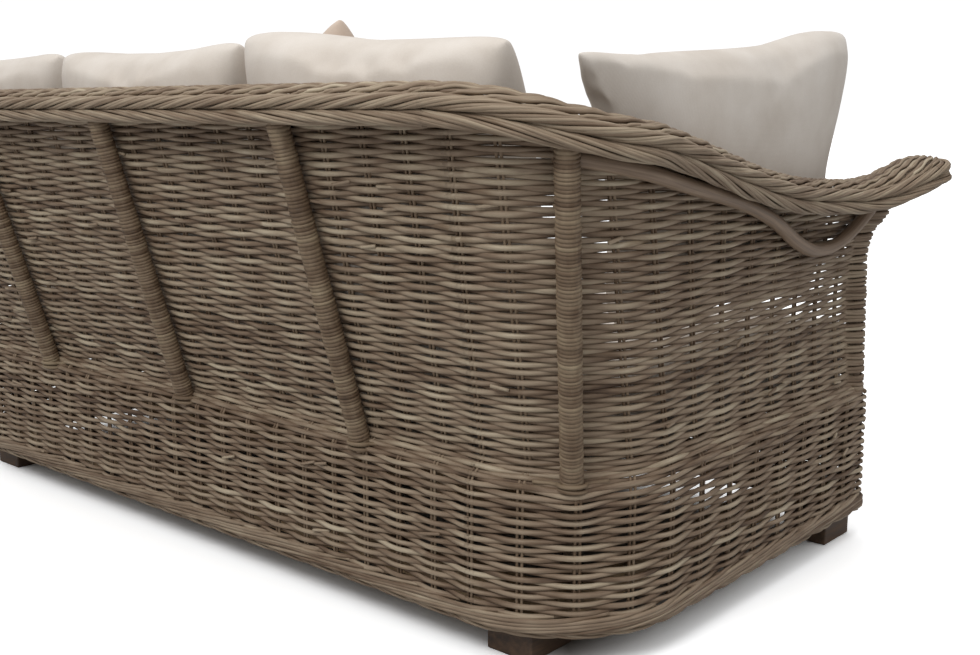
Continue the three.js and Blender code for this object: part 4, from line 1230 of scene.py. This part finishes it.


# Floor, light and camera.
# The floor under and just round the sofa is painted dark, as painted shade and painted shadow.
SHADED_X, SHADED_Y, SHADED_FRONT = 0.81, 0.34, 0.08  # the half size of the shaded floor, and its shift
PAINTED_SHADE, OPEN, SEEN = (0.22, 0.20, 0.18, 1), (0.54, 0.55, 0.56, 1), (1.60, 1.61, 1.62, 1)
FAR = 40


def floor():
    """White round the sofa for the camera, with the sofa's shadow, and painted shade under it and just past
    its edge.
    """
    corners = [(-FAR, -FAR, 0), (FAR, -FAR, 0), (FAR, FAR, 0), (-FAR, FAR, 0)]
    obj = new_mesh_object("floor", corners, [(0, 1, 2, 3)])
    n = Nodes("pale_floor")
    at = n.node("ShaderNodeSeparateXYZ", {"Vector": n.place()}).outputs
    past_x = n.add(n.add(at["X"], 0.0, "ABSOLUTE"), SHADED_X, "SUBTRACT")
    past_y = n.add(n.add(n.add(at["Y"], SHADED_FRONT), 0.0, "ABSOLUTE"), SHADED_Y, "SUBTRACT")
    clear = n.span(n.add(past_x, past_y, "MAXIMUM"), -0.02, 0.06, 0.0, 1.0)
    open_floor = n.blend("MIX", n.node("ShaderNodeLightPath").outputs["Is Camera Ray"], OPEN, SEEN)
    colour = n.blend("MIX", clear, PAINTED_SHADE, open_floor)
    obj.data.materials.append(n.done(colour, 0.95, Specular_IOR_Level=0.0))
    obj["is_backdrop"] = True


floor()

DIM, BRIGHT, BACKDROP = 0.30, 1.16, 1.05  # the sky at the horizon and overhead, and what the camera sees
n = Nodes("studio", "worlds")
direction = n.node("ShaderNodeTexCoord").outputs["Generated"]
upward = n.node("ShaderNodeSeparateXYZ", {"Vector": direction}).outputs["Z"]
height = n.node("ShaderNodeMapRange", {"To Min": DIM, "To Max": BRIGHT, "Value": upward})
seen = n.node("ShaderNodeLightPath").outputs["Is Camera Ray"]
level = n.node("ShaderNodeMix", {"Factor": seen, "A": height.outputs["Result"], "B": BACKDROP})
n.fill(n.tree.nodes["Background"], {"Strength": level.outputs["Result"], "Color": (1, 1, 1, 1)})
bpy.context.scene.world = n.owner

data = bpy.data.lights.new("key", "AREA")
data.shape, data.size, data.energy = "DISK", 1.8, 54
key = bpy.data.objects.new("key", data)
key.location = (-1.2, 2.8, 3.3)
key.rotation_euler = (Vector((0, 0, 0.4)) - key.location).to_track_quat("-Z", "Y").to_euler()
bpy.context.scene.collection.objects.link(key)

EYE = Vector((-1.826, REAR + 1.290, 0.800))
yaw, pitch, roll = math.radians(40.82), math.radians(10.17), math.radians(0.13)
ahead = Vector((math.sin(yaw) * math.cos(pitch), -math.cos(yaw) * math.cos(pitch), -math.sin(pitch)))
camera = bpy.data.objects.new("camera", bpy.data.cameras.new("camera"))
camera.data.lens, camera.data.sensor_width = 44.06, 36.0
camera.location = EYE
camera.rotation_mode = "QUATERNION"
camera.rotation_quaternion = ahead.to_track_quat("-Z", "Y") @ Euler((0, 0, roll)).to_quaternion()
bpy.context.scene.collection.objects.link(camera)
bpy.context.scene.camera = camera
bpy.context.scene.view_settings.view_transform = "Standard"

low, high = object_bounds()
